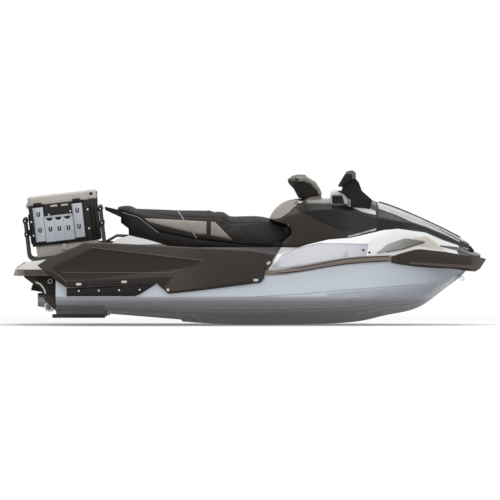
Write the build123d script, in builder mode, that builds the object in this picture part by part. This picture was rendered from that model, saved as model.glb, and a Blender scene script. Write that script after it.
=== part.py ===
import os
from math import atan2, cos, radians, sin
from build123d import *

os.makedirs("parts", exist_ok=True)

# Shared frame, millimetres: +X to the bow, +Y to port, +Z up, Z = 0 at the waterline.
touch_gap = 0.3           # between a lid or a cushion and its seat
moving_gap = 6.0          # between a moving piece and what it passes
pin_gap = 0.4             # around a pin or a shaft

transom_x = -1470.0
half_width = 597.5        # over the side panels
wall_outer = 562.7        # gunwale wall
wall_inner = 500.0
floor_z = 120.0           # footwell floor
footwell_front = 690.0
floor_line = [(-1120, floor_z), (110, floor_z), (375, 145), (footwell_front, 203)]
pedestal_half = 215.0
pedestal_z = 285.0

# hull and deck meet on this line, seen from the side
sheer = [(-1500, 85), (110, 100), (375, 125), (705, 183), (1060, 205), (1800, 190)]
# top of the bow deck, seen from the side
deck_top = [(60, 200), (187, 229), (526, 341), (753, 360), (1010, 418), (1116, 427), (1321, 397), (1457, 338),
            (1612, 284), (1740, 232)]
bow_sections = [  # x, half-width at the gunwale, half-width at the deck's top
    (60, 556, 505),
    (320, 561, 474),
    (640, 556, 436),
    (1010, 500, 384),
    (1321, 385, 262),
    (1540, 258, 146),
    (1740, 85, 40),
]


def level_on(line, x):
    """Height of a side-view line at x."""
    for (x0, z0), (x1, z1) in zip(line, line[1:]):
        if x0 <= x <= x1:
            return z0 + (z1 - z0) * (x - x0) / (x1 - x0)
    return line[-1][1]


def across(points, inner, outer, mode=Mode.ADD):
    """Side-view outline taken across the boat from y = -inner to y = -outer."""
    with BuildSketch(Plane.XZ.offset(inner)) as side:
        Polygon(*points, align=None)
    return extrude(side.sketch, amount=outer - inner, mode=mode)


def upward(points, low, high, mode=Mode.ADD):
    """Plan outline taken up from z = low to z = high."""
    with BuildSketch(Plane.XY.offset(low)) as plan:
        Polygon(*points, align=None)
    return extrude(plan.sketch, amount=high - low, mode=mode)


def section(x, points):
    """Starboard half section at x, from half-widths and heights."""
    with BuildSketch(Plane.YZ.offset(x)) as face:
        Polygon(*[(-y, z) for y, z in points], align=None)
    return face.sketch


def bow_half(grow, x, gunwale, top_half):
    """Half section of the bow deck, carried on above its top."""
    lip = level_on(sheer, x) + 30
    top = level_on(deck_top, x)
    lean = (gunwale - top_half) / (top - lip)
    return [(0, 0), (gunwale + grow, 0), (gunwale + grow, lip), (top_half + grow - 8 * lean, top + 8),
            (0, top + 8)]


below_sheer = sheer + [(1800, -600), (-1500, -600)]
above_sheer = sheer + [(1800, 900), (-1500, 900)]

# jet drive, on an axis along X
jet_z = -115.0
pump_radius = 95.0
bore_radius = 80.0
tunnel_half = 132.0
pump_front = -1085.0
shaft_radius = 14.0

# engine
engine_x = (-330.0, 290.0)
engine_half = 180.0
engine_z = (-150.0, 270.0)
bay_gap = 15.0

# front storage bin
bin_rear = 990.0
bin_front = 1380.0
bin_floor = 60.0
bin_half_rear = 235.0
bin_half_front = 140.0
bin_wall = 5.0


def bin_outline(grow):
    return [(bin_rear - grow, bin_half_rear + grow), (bin_front + grow, bin_half_front + grow),
            (bin_front + grow, -bin_half_front - grow), (bin_rear - grow, -bin_half_rear - grow)]


# Hull
hull_sections = [  # x, keel z, lower chine y and z, upper chine y and z, gunwale y
    (transom_x, -216, 500, -112, 530, -84, 548),
    (-950, -240, 512, -112, 545, -84, 556),
    (-450, -285, 515, -114, 548, -85, 560),
    (100, -303, 512, -112, 548, -81, 562),
    (560, -296, 505, -104, 540, -62, 560),
    (900, -262, 455, -84, 492, -38, 530),
    (1130, -212, 372, -69, 415, -16, 470),
    (1320, -144, 185, -76, 290, 2, 388),
    (1450, -46, 40, -34, 150, 8, 316),
    (1540, 22, 16, 34, 60, 52, 255),
    (1629, 104, 10, 112, 22, 122, 165),
]
strake_places = (0.36, 0.66)   # share of the bottom's half-width
strake_width = 22.0
hull_top = 240.0


def hull_half(keel, low_y, low_z, up_y, up_z, top_y):
    rise = (low_z - keel) / low_y
    width = strake_width * min(1.0, low_y / 400)
    half = [(0, keel)]
    for place in strake_places:
        y = place * low_y
        z = keel + rise * y
        half += [(y, z), (y + width, z), (y + width, z + rise * width)]
    return half + [(low_y, low_z), (up_y, up_z), (top_y, hull_top), (0, hull_top)]


with BuildPart() as hull:
    loft([section(x, hull_half(*sizes)) for x, *sizes in hull_sections])
    mirror(about=Plane.XZ)
    across(above_sheer, -800, 800, mode=Mode.SUBTRACT)
    # jet tunnel, intake duct, shaft hole, engine bay and storage bin
    with BuildSketch(Plane.YZ.offset(transom_x)):
        with Locations((0, jet_z)):
            Circle(tunnel_half)
        with Locations((0, jet_z - 200)):
            Rectangle(2 * tunnel_half, 400)
    extrude(amount=pump_front - transom_x, mode=Mode.SUBTRACT)
    across([(pump_front, jet_z + bore_radius), (pump_front, jet_z - bore_radius), (-1000, -320), (-480, -320),
            (-560, -225), (-800, -90)], -bore_radius, bore_radius, mode=Mode.SUBTRACT)
    with Locations(Location((-600, 0, jet_z), (0, 90, 0))):
        Cylinder(shaft_radius + 3, 700, mode=Mode.SUBTRACT)
    bay = engine_half + bay_gap
    upward([(engine_x[0] - 50, bay), (engine_x[1] + 50, bay), (engine_x[1] + 50, -bay), (engine_x[0] - 50, -bay)],
           engine_z[0] - 20, 400, mode=Mode.SUBTRACT)
    upward(bin_outline(touch_gap), bin_floor - touch_gap, 500, mode=Mode.SUBTRACT)
hull.part.label = "hull"

# Deck moulding
gunwale_line = [(-1480, 215), (-1252, 312), (-1101, 312), (-637, 290), (-307, 274), (60, 255), (150, 235)]
pedestal_line = [(-1118, 250), (-1089, 290), (-1000, 345), (-920, 376), (-774, 342), (-632, 300), (-571, pedestal_z),
                 (700, pedestal_z)]


footwells = []
for side in (-1, 1):
    with BuildPart() as well:
        upward([(x, side * y) for x, y in ((-1120, pedestal_half), (-1120, wall_inner), (150, wall_inner), (526, 400),
                                           (footwell_front, 370), (footwell_front, 300), (350, pedestal_half))],
               0, 700)
        across(floor_line + [(footwell_front, 700), (-1120, 700)], -800, 800, mode=Mode.INTERSECT)
    footwells.append(well.part)

with BuildPart() as deck:
    loft([section(row[0], bow_half(0, *row)) for row in bow_sections])
    mirror(about=Plane.XZ)
    across(deck_top + [(1740, 900), (60, 900)], -800, 800, mode=Mode.SUBTRACT)
    upward([(-1120, wall_inner), (200, wall_inner), (200, -wall_inner), (-1120, -wall_inner)], 0, floor_z)
    for side in (-1, 1):
        across([(-1480, 0)] + gunwale_line + [(150, 0)], side * wall_inner, side * wall_outer)
    across([(-1118, 0)] + pedestal_line + [(700, 0)], -pedestal_half, pedestal_half)
    for well_part in footwells:
        add(well_part, mode=Mode.SUBTRACT)
    across(below_sheer, -800, 800, mode=Mode.SUBTRACT)
    upward([(engine_x[0] - 50, bay), (engine_x[1] + 50, bay), (engine_x[1] + 50, -bay), (engine_x[0] - 50, -bay)],
           0, 400, mode=Mode.SUBTRACT)
    upward(bin_outline(touch_gap), 0, 500, mode=Mode.SUBTRACT)
deck.part.label = "deck"

# Rear platform
platform_tail = -1791.0
platform_half = 430.0
deck_foot = (-1608.0, 187.0)      # the rear deck slopes up forward from here
deck_head = (-1120.0, 243.5)
with BuildPart() as rear_platform:
    across([(platform_tail, 72), (-1776, 121), (-1717, 161), deck_foot, deck_head, (deck_head[0], -50), (-1480, -50),
            (-1480, 72)], -wall_inner, wall_inner)
    upward([(platform_tail, 300), (-1750, 400), (-1690, platform_half), (-1480, wall_inner - touch_gap),
            (-1100, wall_inner - touch_gap), (-1100, touch_gap - wall_inner), (-1480, touch_gap - wall_inner),
            (-1690, -platform_half), (-1750, -400), (platform_tail, -300)], -100, 400, mode=Mode.INTERSECT)
    across(below_sheer, -800, 800, mode=Mode.SUBTRACT)
rear_platform.part.label = "rear_platform"

with BuildPart() as transom_shroud:
    for side in (-1, 1):
        across([(-1711, 60), (-1641, 8), (-1605, -11), (-1576, -48), (-1555, -114), (-1481, -186), (transom_x, -186),
                (transom_x, 60)], side * 250, side * 290)
    across([(-1711, 60), (transom_x, 60), (transom_x, 72), (-1711, 72)], -290, 290)
transom_shroud.part.label = "transom_shroud"

panel_outline = [(-1608, 154), (-1510, 216), (-1252, 325), (-1101, 325), (-637, 301), (-307, 284), (-4, 269),
                 (190, 235), (113, 121), (101, 55), (76, 23), (-382, -36), (-620, -62), (-708, 19), (-988, 5),
                 (-1394, -10), (-1489, 56)]
panel_inset = [(-1518, 136), (-1203, 291), (-341, 189), (-587, 77), (-1215, 50), (-1387, 30)]

# Rub rails, bumper, bow eye
rail_stations = [  # x, z of the middle, half-height, half-width of the boat there
    (108, 100, 18, 558),
    (375, 125, 21, 562),
    (705, 183, 25, 552),
    (900, 199, 25, 528),
    (1060, 206, 24, 490),
]
rail_reach = 28.0
with BuildPart() as rub_rail_right:
    loft([section(x, [(half - 12, z - tall), (half + rail_reach - 8, z - tall), (half + rail_reach, z),
                      (half + rail_reach - 8, z + tall), (half - 12, z + tall)])
          for x, z, tall, half in rail_stations])
    across(panel_outline, 400, 700, mode=Mode.SUBTRACT)
    add(hull.part, mode=Mode.SUBTRACT)
    add(deck.part, mode=Mode.SUBTRACT)

bumper_rear = 1063.0
bumper_plan = [  # x, half-width
    (bumper_rear, 512), (1238, 450), (1402, 372), (1560, 282), (1700, 165), (1770, 75), (1782, 40)]
bumper_deep = 90.0
with BuildPart() as bow_bumper:
    upward(bumper_plan + [(x, -half) for x, half in bumper_plan[::-1]], 90, 300)
    upward([(x - bumper_deep, half - 30) for x, half in bumper_plan]
           + [(x - bumper_deep, 30 - half) for x, half in bumper_plan[::-1]], 80, 310, mode=Mode.SUBTRACT)
    across([(bumper_rear, 172), (1129, 159), (1252, 142), (1402, 129), (1524, 125), (1629, 107), (1701, 101),
            (1737, 125), (1772, 176), (1782, 196), (1720, 208), (1592, 230), (1480, 251), (1291, 274), (1238, 271),
            (1136, 244), (bumper_rear, 220)], -800, 800, mode=Mode.INTERSECT)
    add(hull.part, mode=Mode.SUBTRACT)
    add(deck.part, mode=Mode.SUBTRACT)
bow_bumper.part.label = "bow_bumper"

eye_at = (1600.0, 46.0)
eye_radius = 10.0
with BuildPart() as bow_eye:
    with BuildSketch(Plane.XZ.offset(-5)):
        with Locations(eye_at):
            Circle(eye_radius + 8)
        with Locations(Location((eye_at[0] - 16, eye_at[1] + 18), 130)):
            Rectangle(40, 16)
        with Locations(eye_at):
            Circle(eye_radius, mode=Mode.SUBTRACT)
    extrude(amount=10)
    add(hull.part, mode=Mode.SUBTRACT)
bow_eye.part.label = "bow_eye"

# Side panels and sponsons
panel_relief = 9.0
panel_rim = 10.0
panel_crease = [(-1442, 104), (-528, 104), (-596, 74), (-1214, 47), (-1380, 30)]
with BuildPart() as side_panel_right:
    across(panel_outline, wall_outer + touch_gap, half_width)
    chamfer(side_panel_right.faces().sort_by(Axis.Y)[0].edges(), panel_rim)
    with BuildSketch(Plane.XZ.offset(half_width)):
        Polygon(*panel_inset, align=None)
    extrude(amount=-panel_relief, taper=40, mode=Mode.SUBTRACT)
    across(panel_crease, half_width - panel_relief - 3, half_width - panel_relief, mode=Mode.SUBTRACT)

with BuildPart() as sponson_right:
    across([(-1387, -21), (-712, 14), (-836, -66), (-874, -79), (-1387, -79)], 500, 588)
    chamfer(sponson_right.faces().sort_by(Axis.Y)[0].edges(), 8)
    add(hull.part, mode=Mode.SUBTRACT)

# Cowl, hood and their covers
steer_foot = (465.0, 625.0)
steer_lean = radians(10.0)
column_radius = 22.0
boss_radius = 78.0
boss_top = 40.0            # above the foot of the steering axis
steer_plane = Plane(origin=(steer_foot[0], 0, steer_foot[1]), x_dir=(cos(steer_lean), 0, sin(steer_lean)),
                    z_dir=(-sin(steer_lean), 0, cos(steer_lean)))
cowl_front = 955.0
cowl_sections = [  # x, foot y, shoulder y and z, top edge y and z, crown z
    (140, 200, 186, 420, 118, 476, 492),
    (240, 212, 214, 500, 134, 596, 614),
    (400, 232, 256, 552, 158, 638, 654),
    (640, 310, 314, 570, 206, 640, 654),
    (cowl_front, 392, 355, 505, 265, 595, 626),
]
# the cowl stands over this line, clear of the seat's nose
cowl_outline = [(100, 501), (146, 499), (288, 452), (311, 420), (308, 380), (239, 321), (239, pedestal_z),
                (430, pedestal_z), (526, 320), (720, 345), (cowl_front + 5, 380), (cowl_front + 5, 900), (100, 900)]


def cowl_half(grow, foot, shoulder_y, shoulder_z, top_y, top_z, crown):
    return [(0, 200), (foot + grow, 200), (foot + grow, 330), (shoulder_y + grow, shoulder_z),
            (top_y + grow, top_z + grow / 2), (0, crown + grow)]


with BuildPart() as cowl:
    loft([section(x, cowl_half(0, *sizes)) for x, *sizes in cowl_sections])
    mirror(about=Plane.XZ)
    across(cowl_outline, -800, 800, mode=Mode.INTERSECT)
    add(deck.part, mode=Mode.SUBTRACT)
    with BuildSketch(steer_plane):
        Circle(boss_radius)
    extrude(amount=boss_top)
    with BuildSketch(steer_plane.offset(-touch_gap)):
        Circle(column_radius + pin_gap)
    extrude(amount=80, mode=Mode.SUBTRACT)
cowl.part.label = "cowl"

cover_thick = 8.0
with BuildPart() as cowl_side_right:
    loft([section(x, cowl_half(cover_thick, *sizes)) for x, *sizes in cowl_sections])
    across([(360, 568), (360, 606), (420, 615), (700, 613), (844, 550), (950, 524), (950, 420), (852, 397), (705, 414),
            (526, 480)], 100, 600, mode=Mode.INTERSECT)
    add(cowl.part, mode=Mode.SUBTRACT)
    add(deck.part, mode=Mode.SUBTRACT)

hood_rear = cowl_front + moving_gap
hood_sections = [  # x, rim y, side y and z, edge y and z, crown z
    (hood_rear, 384, 350, 505, 260, 594, 625),
    (1116, 338, 306, 486, 208, 546, 572),
    (1321, 250, 222, 432, 138, 470, 484),
    (1480, 166, 148, 356, 92, 394, 408),
    (1656, 74, 64, 286, 40, 300, 310),
]
hood_thick = 9.0
panel_skin = 5.0


def hood_shell(x, rim, side_y, side_z, edge_y, edge_z, crown):
    foot = level_on(deck_top, x) - 12
    outer = [(rim, foot), (side_y, side_z), (edge_y, edge_z), (0, crown)]
    inner = [(0, crown - hood_thick), (edge_y - 5, edge_z - hood_thick), (side_y - hood_thick, side_z - 5),
             (rim - hood_thick, foot)]
    return outer + inner


hinge_at = (1664.0, 285.0)
hinge_pin = 4.0
with BuildPart() as hood:
    loft([section(x, hood_shell(x, *sizes)) for x, *sizes in hood_sections])
    mirror(about=Plane.XZ)
    across([(x, z + touch_gap) for x, z in deck_top] + [(1740, 0), (60, 0)], -800, 800, mode=Mode.SUBTRACT)
    for side in (-1, 1):
        across([(1640, 280), (1640, 300), (1664, 293), (1671, 285), (1664, 278)], side * 30 - 4, side * 30 + 4)
    with Locations(Location((hinge_at[0], 0, hinge_at[1]), (90, 0, 0))):
        Cylinder(hinge_pin + pin_gap, 100, mode=Mode.SUBTRACT)
hood.part.label = "hood"

with BuildPart() as hood_panel:
    loft([section(x, [(edge_y - 8, edge_z - 6), (edge_y - 8, edge_z + panel_skin), (0, crown + panel_skin),
                      (0, crown - 6)]) for x, rim, side_y, side_z, edge_y, edge_z, crown in hood_sections])
    mirror(about=Plane.XZ)
    across([(900, 900), (900, 0), (1610, 0), (1610, 900)], -500, 500, mode=Mode.INTERSECT)
    add(hood.part, mode=Mode.SUBTRACT)
hood_panel.part.label = "hood_panel"

with BuildPart() as hood_hinge:
    for side in (-1, 1):
        across([(1650, 240), (1650, 268), (1658, 288), (1661, 291), (1667, 291), (1670, 288), (1690, 262), (1690, 240)],
               side * 44 - 5, side * 44 + 5)
    with Locations(Location((hinge_at[0], 0, hinge_at[1]), (90, 0, 0))):
        Cylinder(hinge_pin, 96)
    add(deck.part, mode=Mode.SUBTRACT)
hood_hinge.part.label = "hood_hinge"

with BuildPart() as storage_bin:
    upward(bin_outline(0), bin_floor, level_on(deck_top, bin_front) - 30)
    upward(bin_outline(-bin_wall), bin_floor + bin_wall, 500, mode=Mode.SUBTRACT)
storage_bin.part.label = "storage_bin"

fin_thick = 14.0
with BuildPart() as fin_right:
    loft([section(row[0], bow_half(fin_thick, *row)) for row in bow_sections])
    across([(950, 248), (1026, 307), (1048, 318), (1150, 352), (1185, 356), (1321, 331), (1140, 276)], 255, 700,
           mode=Mode.INTERSECT)
    add(deck.part, mode=Mode.SUBTRACT)
    add(bow_bumper.part, mode=Mode.SUBTRACT)

# Instruments, speakers, mirrors
with BuildPart() as instrument_pod:
    across([(610, 600), (600, 668), (690, 712), (800, 640), (800, 600)], -125, 125)
    fillet(instrument_pod.edges().filter_by(Axis.Y), 8)
    add(cowl.part, mode=Mode.SUBTRACT)
instrument_pod.part.label = "instrument_pod"



def shrunk(points, centre, share):
    """Outline drawn in towards a point."""
    return [(centre[0] + (x - centre[0]) * share, centre[1] + (z - centre[1]) * share) for x, z in points]


def tapering(points, centre, share, inner, outer):
    """Side-view outline at y = -inner that narrows to a share of its size at y = -outer."""
    ends = []
    for y, outline in ((inner, points), (outer, shrunk(points, centre, share))):
        with BuildSketch(Plane.XZ.offset(y)) as side:
            Polygon(*outline, align=None)
        ends.append(side.sketch)
    return loft(ends, ruled=True)


speaker_outline = [(606, 600), (602, 681), (614, 707), (647, 715), (705, 687), (750, 636), (713, 560)]
speaker_face = [(614, 618), (612, 676), (696, 676), (704, 618)]
with BuildPart() as speaker_right:
    tapering(speaker_outline, (655, 640), 0.9, 190, 285)
    across(speaker_face, 278, 300, mode=Mode.SUBTRACT)
    add(cowl.part, mode=Mode.SUBTRACT)
    add(cowl_side_right.part, mode=Mode.SUBTRACT)

with BuildPart() as mirror_right:
    tapering([(662, 744), (730, 855), (771, 863), (796, 848), (796, 805), (700, 740)], (696, 799.5), 0.72, 255, 450)
    # recess for the glass in the aft face
    with BuildSketch(Plane(origin=(696, -350, 799.5), x_dir=(0, -1, 0), z_dir=(-0.853, 0, 0.522))):
        Rectangle(160, 78)
    extrude(amount=-4, mode=Mode.SUBTRACT)
    across([(712, 775), (780, 820), (820, 772), (844, 707), (919, 641), (895, 560), (760, 560), (755, 645),
            (688, 707)], 255, 310)
    add(cowl.part, mode=Mode.SUBTRACT)
    add(cowl_side_right.part, mode=Mode.SUBTRACT)
    add(speaker_right.part, mode=Mode.SUBTRACT)

# Steering
cover_outline = [(372, 640), (327, 724), (290, 765), (310, 818), (360, 830), (409, 827), (492, 777), (526, 724), (560, 640)]
cover_half = 105.0
with BuildPart() as steering_cover:
    across(cover_outline, 0, 55)
    tapering(cover_outline, (440, 730), 0.74, 55, cover_half)
    mirror(about=Plane.XZ)
    with BuildSketch(steer_plane.offset(boss_top + moving_gap)):
        Rectangle(600, 400)
    extrude(amount=-100, mode=Mode.SUBTRACT)
steering_cover.part.label = "steering_cover"

bar_root = Vector(392, -85, 782)
bar_end = Vector(300, -405, 785)
bar_radius = 11.0
bar_plane = Plane(origin=bar_root, z_dir=bar_end - bar_root)
bar_length = (bar_end - bar_root).length
grip_length = 140.0
with BuildPart() as handlebar:
    with BuildSketch(bar_plane):
        Circle(bar_radius)
    extrude(amount=bar_length)
    mirror(about=Plane.XZ)
    add(steering_cover.part, mode=Mode.SUBTRACT)
    with BuildSketch(steer_plane):
        Circle(column_radius)
    extrude(amount=80)
    add(steering_cover.part, mode=Mode.SUBTRACT)
handlebar.part.label = "handlebar"

with BuildPart() as grips:
    with BuildSketch(bar_plane.offset(bar_length - grip_length)):
        Circle(17)
        Circle(bar_radius, mode=Mode.SUBTRACT)
    extrude(amount=grip_length)
    mirror(about=Plane.XZ)
grips.part.label = "grips"

# Seat
base_line = [(-980, 555), (-845, 515), (-700, 405), (-400, 345), (0, 300), (180, 300)]
seat_plan = [  # x, half-width of the seat there
    (-990, 150), (-905, 185), (-541, 195), (-302, 190), (-163, 172), (60, 158), (200, 140)]
with BuildPart() as seat_base:
    across([(-980, 470), (-923, 427)] + [p for p in pedestal_line if -925 < p[0] < 100] + [(180, pedestal_z)]
           + base_line[::-1], -400, 400)
    upward([(x, half) for x, half in seat_plan] + [(x, -half) for x, half in seat_plan[::-1]], 100, 700,
           mode=Mode.INTERSECT)
seat_base.part.label = "seat_base"

cushion_low = [(x, z + touch_gap) for x, z in base_line]
cushion_nose = [(236, 321), (306, 381), (309, 419), (309, 700)]
rear_seat_sections = [  # x, half-width at foot, half-width at top, top z
    (-1004, 140, 112, 586), (-960, 168, 134, 593), (-905, 188, 152, 593), (-868, 192, 156, 566), (-541, 200, 162, 553),
    (-302, 196, 154, 550)]
front_seat_sections = [
    (-298, 196, 154, 549), (-205, 188, 146, 541), (-160, 180, 138, 507), (60, 165, 122, 511), (145, 155, 108, 497),
    (286, 112, 78, 450), (309, 80, 55, 420)]


def cushion_half(foot, half, top):
    """Half section of a cushion: upright side, bolster and a slightly dished top."""
    return [(0, 200), (foot, 200), (foot, top - 120), (half + 22, top - 46), (half + 4, top - 14), (half - 30, top),
            (0, top - 6)]


cushions = []
for sections in (rear_seat_sections, front_seat_sections):
    with BuildPart() as cushion:
        loft([section(x, cushion_half(*sizes)) for x, *sizes in sections], ruled=True)
        mirror(about=Plane.XZ)
        across([(-1010, 570)] + cushion_low + cushion_nose + [(-1010, 700)], -400, 400, mode=Mode.INTERSECT)
    cushions.append(cushion)
seat_rear, seat_front = cushions
seat_rear.part.label = "seat_rear"
seat_front.part.label = "seat_front"

handle_leg = [(-1103, 590), (-1099, 566), (-978, 510), (-978, 560)]
handle_grip = [(-1103, 590), (-1099, 566), (-1066, 551), (-1066, 581)]
handle_half = 135.0
with BuildPart() as grab_handle:
    across(handle_leg, handle_half - 34, handle_half)
    across(handle_grip, 0, handle_half)
    mirror(about=Plane.XZ)
    add(seat_base.part, mode=Mode.SUBTRACT)
    add(seat_rear.part, mode=Mode.SUBTRACT)
grab_handle.part.label = "grab_handle"

arch_radius = 9.0
with BuildPart() as deck_arch:
    with BuildLine() as loop:
        FilletPolyline((-915, -130, 368), (-1010, -130, 372), (-1092, -130, 326), (-1092, 130, 326), (-1010, 130, 372),
                       (-915, 130, 368), radius=25)
    with BuildSketch(Plane(origin=loop.line @ 0, z_dir=loop.line % 0)):
        Circle(arch_radius)
    sweep(path=loop.line)
    add(deck.part, mode=Mode.SUBTRACT)
    add(seat_base.part, mode=Mode.SUBTRACT)
deck_arch.part.label = "deck_arch"

# Engine
with BuildPart() as engine:
    upward([(engine_x[0], engine_half), (engine_x[1], engine_half), (engine_x[1], -engine_half),
            (engine_x[0], -engine_half)], engine_z[0] - 20, engine_z[1])
engine.part.label = "engine"

# Jet pump, impeller, nozzle and bucket, as round shapes about the jet axis
jet_plane = Plane(origin=(0, 0, jet_z), x_dir=(1, 0, 0), z_dir=(0, -1, 0))
pump_rear = -1475.0
gimbal_x = -1465.0
hub_radius = 30.0


def turned(points, mode=Mode.ADD):
    """Outline of x and radius turned about the jet axis."""
    with BuildSketch(jet_plane) as profile:
        Polygon(*points, align=None)
    return revolve(profile.sketch, axis=Axis((0, 0, jet_z), (1, 0, 0)), mode=mode)


vane_count = 6
blade_count = 3
arm_inner = 94.0
arm_thick = 10.0
pin_radius = 6.0
bucket_at = (-1490.0, -70.0)
with BuildPart() as pump_housing:
    turned([(pump_front, bore_radius), (pump_front, tunnel_half - 6), (pump_front - 14, tunnel_half - 6),
            (pump_front - 14, pump_radius), (-1330, pump_radius), (-1440, 49), (pump_rear, 45), (pump_rear, 39),
            (-1435, 41), (-1330, bore_radius)])
    turned([(-1245, shaft_radius + pin_gap), (-1245, hub_radius), (-1330, hub_radius), (-1410, 10), (-1410, 0),
            (-1300, 0), (-1300, shaft_radius + pin_gap)])
    with PolarLocations(0, 1):
        for turn in range(vane_count):
            with BuildSketch(Plane(origin=(-1285, 0, jet_z), x_dir=(1, 0, 0), z_dir=(0, sin(radians(
                    turn * 360 / vane_count)), cos(radians(turn * 360 / vane_count))))) as vane:
                Rectangle(70, 5)
            extrude(vane.sketch, amount=bore_radius + 4, mode=Mode.ADD)
    turned([(-1245, 0), (-1245, shaft_radius + pin_gap), (-1300, shaft_radius + pin_gap), (-1300, 0)],
           mode=Mode.SUBTRACT)
    for side in (-1, 1):
        inner, outer = sorted((side * arm_inner, side * (arm_inner + arm_thick)))
        across([(-1250, jet_z - 16), (-1250, jet_z + 30), (-1480, bucket_at[1] + 18), (-1504, bucket_at[1] + 10),
                (-1504, bucket_at[1] - 12), (-1480, jet_z - 16)], inner, outer)
        across([(-1250, jet_z - 16), (-1250, jet_z + 16), (-1300, jet_z + 16), (-1300, jet_z - 16)],
               *sorted((side * 80.5, side * arm_inner)))
        with Locations(Location((gimbal_x, -side * 88, jet_z), (90, 0, 0))):
            Cylinder(pin_radius, 14)
        with Locations(Location((bucket_at[0], -side * 112, bucket_at[1]), (90, 0, 0))):
            Cylinder(pin_radius, 18)
pump_housing.part.label = "pump_housing"

blade_radius = bore_radius - 5
blade_cuts = [  # radius, pitch in degrees, length, thickness
    (22, 28, 92, 9), (50, 44, 98, 6), (80, 58, 108, 4)]
with BuildPart() as impeller:
    turned([(-1105, 0), (-1105, 20), (-1130, hub_radius), (-1225, hub_radius), (-1225, shaft_radius), (-1290,
            shaft_radius), (-1290, 0)])
    turned([(-1105, 0), (-1105, shaft_radius), (engine_x[0] - 20, shaft_radius), (engine_x[0] - 20, 0)])
    for turn in range(blade_count):
        turned_by = radians(turn * 360 / blade_count)
        ends = []
        for radius, pitch, length, thick in blade_cuts:
            outward = Vector(0, sin(turned_by), cos(turned_by))
            with BuildSketch(Plane(origin=Vector(-1178, 0, jet_z) + outward * radius, x_dir=(1, 0, 0),
                                   z_dir=outward)) as cut:
                with Locations(Location((0, 0), pitch)):
                    Rectangle(length, thick)
            ends.append(cut.sketch)
        loft(ends)
    turned([(-1400, blade_radius), (-1400, 150), (-300, 150), (-300, blade_radius)], mode=Mode.SUBTRACT)
impeller.part.label = "impeller"

ring_inner = 80.0
ring_outer = 87.0
with BuildPart() as trim_ring:
    turned([(gimbal_x + 12, ring_inner), (gimbal_x + 12, ring_outer), (gimbal_x - 12, ring_outer), (gimbal_x - 12,
           ring_inner)])
    with Locations(Location((gimbal_x, 0, jet_z), (90, 0, 0))):
        Cylinder(pin_radius + pin_gap, 240, mode=Mode.SUBTRACT)
    for side in (-1, 1):
        with Locations((gimbal_x, 0, jet_z + side * 78)):
            Cylinder(pin_radius, 14)
trim_ring.part.label = "trim_ring"

with BuildPart() as steering_nozzle:
    turned([(-1484, 66), (-1484, 72), (-1520, 64), (-1610, 50), (-1610, 43), (-1520, 57)])
    for side in (-1, 1):
        upward([(-1490, 12), (-1455, 12), (-1455, -12), (-1490, -12)], *sorted((jet_z + side * 66, jet_z + side * 74)))
        with Locations((gimbal_x, 0, jet_z + side * 70)):
            Cylinder(pin_radius + pin_gap, 40, mode=Mode.SUBTRACT)
steering_nozzle.part.label = "steering_nozzle"

bucket_inner = 168.0
bucket_thick = 6.0
bucket_half = 122.0
bucket_from = 10.0          # degrees above straight aft, at rest
bucket_span = 34.0
cheek_inner = arm_inner + arm_thick + moving_gap
with BuildPart() as reverse_bucket:
    with BuildSketch(Plane(origin=(bucket_at[0], -bucket_half, bucket_at[1]), x_dir=(-1, 0, 0), z_dir=(0, 1, 0))):
        with BuildLine():
            outer_arc = CenterArc((0, 0), bucket_inner + bucket_thick, bucket_from, bucket_span)
            inner_arc = CenterArc((0, 0), bucket_inner, bucket_from, bucket_span)
            Line(outer_arc @ 0, inner_arc @ 0)
            Line(outer_arc @ 1, inner_arc @ 1)
        make_face()
    extrude(amount=2 * bucket_half)
    with BuildSketch(Plane(origin=(bucket_at[0], cheek_inner, bucket_at[1]), x_dir=(-1, 0, 0), z_dir=(0, 1, 0))):
        Circle(18)
        with BuildLine():
            Polyline((0, 0), *[((bucket_inner + 3) * cos(radians(bucket_from + turn * bucket_span)),
                                (bucket_inner + 3) * sin(radians(bucket_from + turn * bucket_span)))
                               for turn in (0, 0.5, 1)], close=True)
        make_face()
    extrude(amount=bucket_half - cheek_inner)
    mirror(about=Plane.XZ)
    with Locations(Location((bucket_at[0], 0, bucket_at[1]), (90, 0, 0))):
        Cylinder(pin_radius + pin_gap, 300, mode=Mode.SUBTRACT)
reverse_bucket.part.label = "reverse_bucket"

with BuildPart() as ride_plate:
    with BuildSketch(Plane.YZ.offset(-1500)):
        Polygon((0, -252), (190, -212), (190, -150), (-190, -150), (-190, -212), align=None)
    extrude(amount=400)
    with BuildSketch(Plane.YZ.offset(-1500)):
        Polygon((0, -240), (tunnel_half, -212), (tunnel_half, -100), (-tunnel_half, -100), (-tunnel_half, -212),
                align=None)
    extrude(amount=400, mode=Mode.SUBTRACT)
    across([(-1600, -100), (transom_x, -100), (transom_x, -225), (-1600, -225)], -300, 300, mode=Mode.SUBTRACT)
    add(hull.part, mode=Mode.SUBTRACT)
ride_plate.part.label = "ride_plate"

keel_line = [(row[0], row[1]) for row in hull_sections]
grate_x = (-1078.0, -490.0)
grate_bars = (-60, -20, 20, 60)
bar_tall = 14.0
with BuildPart() as intake_grate:
    for y in grate_bars:
        low, high = [level_on(keel_line, x) + abs(y) / 3 + 8 for x in grate_x]
        across([(grate_x[0], low), (grate_x[0], low + bar_tall), (grate_x[1], high + bar_tall), (grate_x[1], high)],
               y - 5, y + 5)
    middle = level_on(keel_line, -790) + 24
    across([(-800, middle), (-800, middle + 14), (-780, middle + 14), (-780, middle)], -65, 65)
    add(hull.part, mode=Mode.SUBTRACT)
    add(ride_plate.part, mode=Mode.SUBTRACT)
intake_grate.part.label = "intake_grate"

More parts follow.
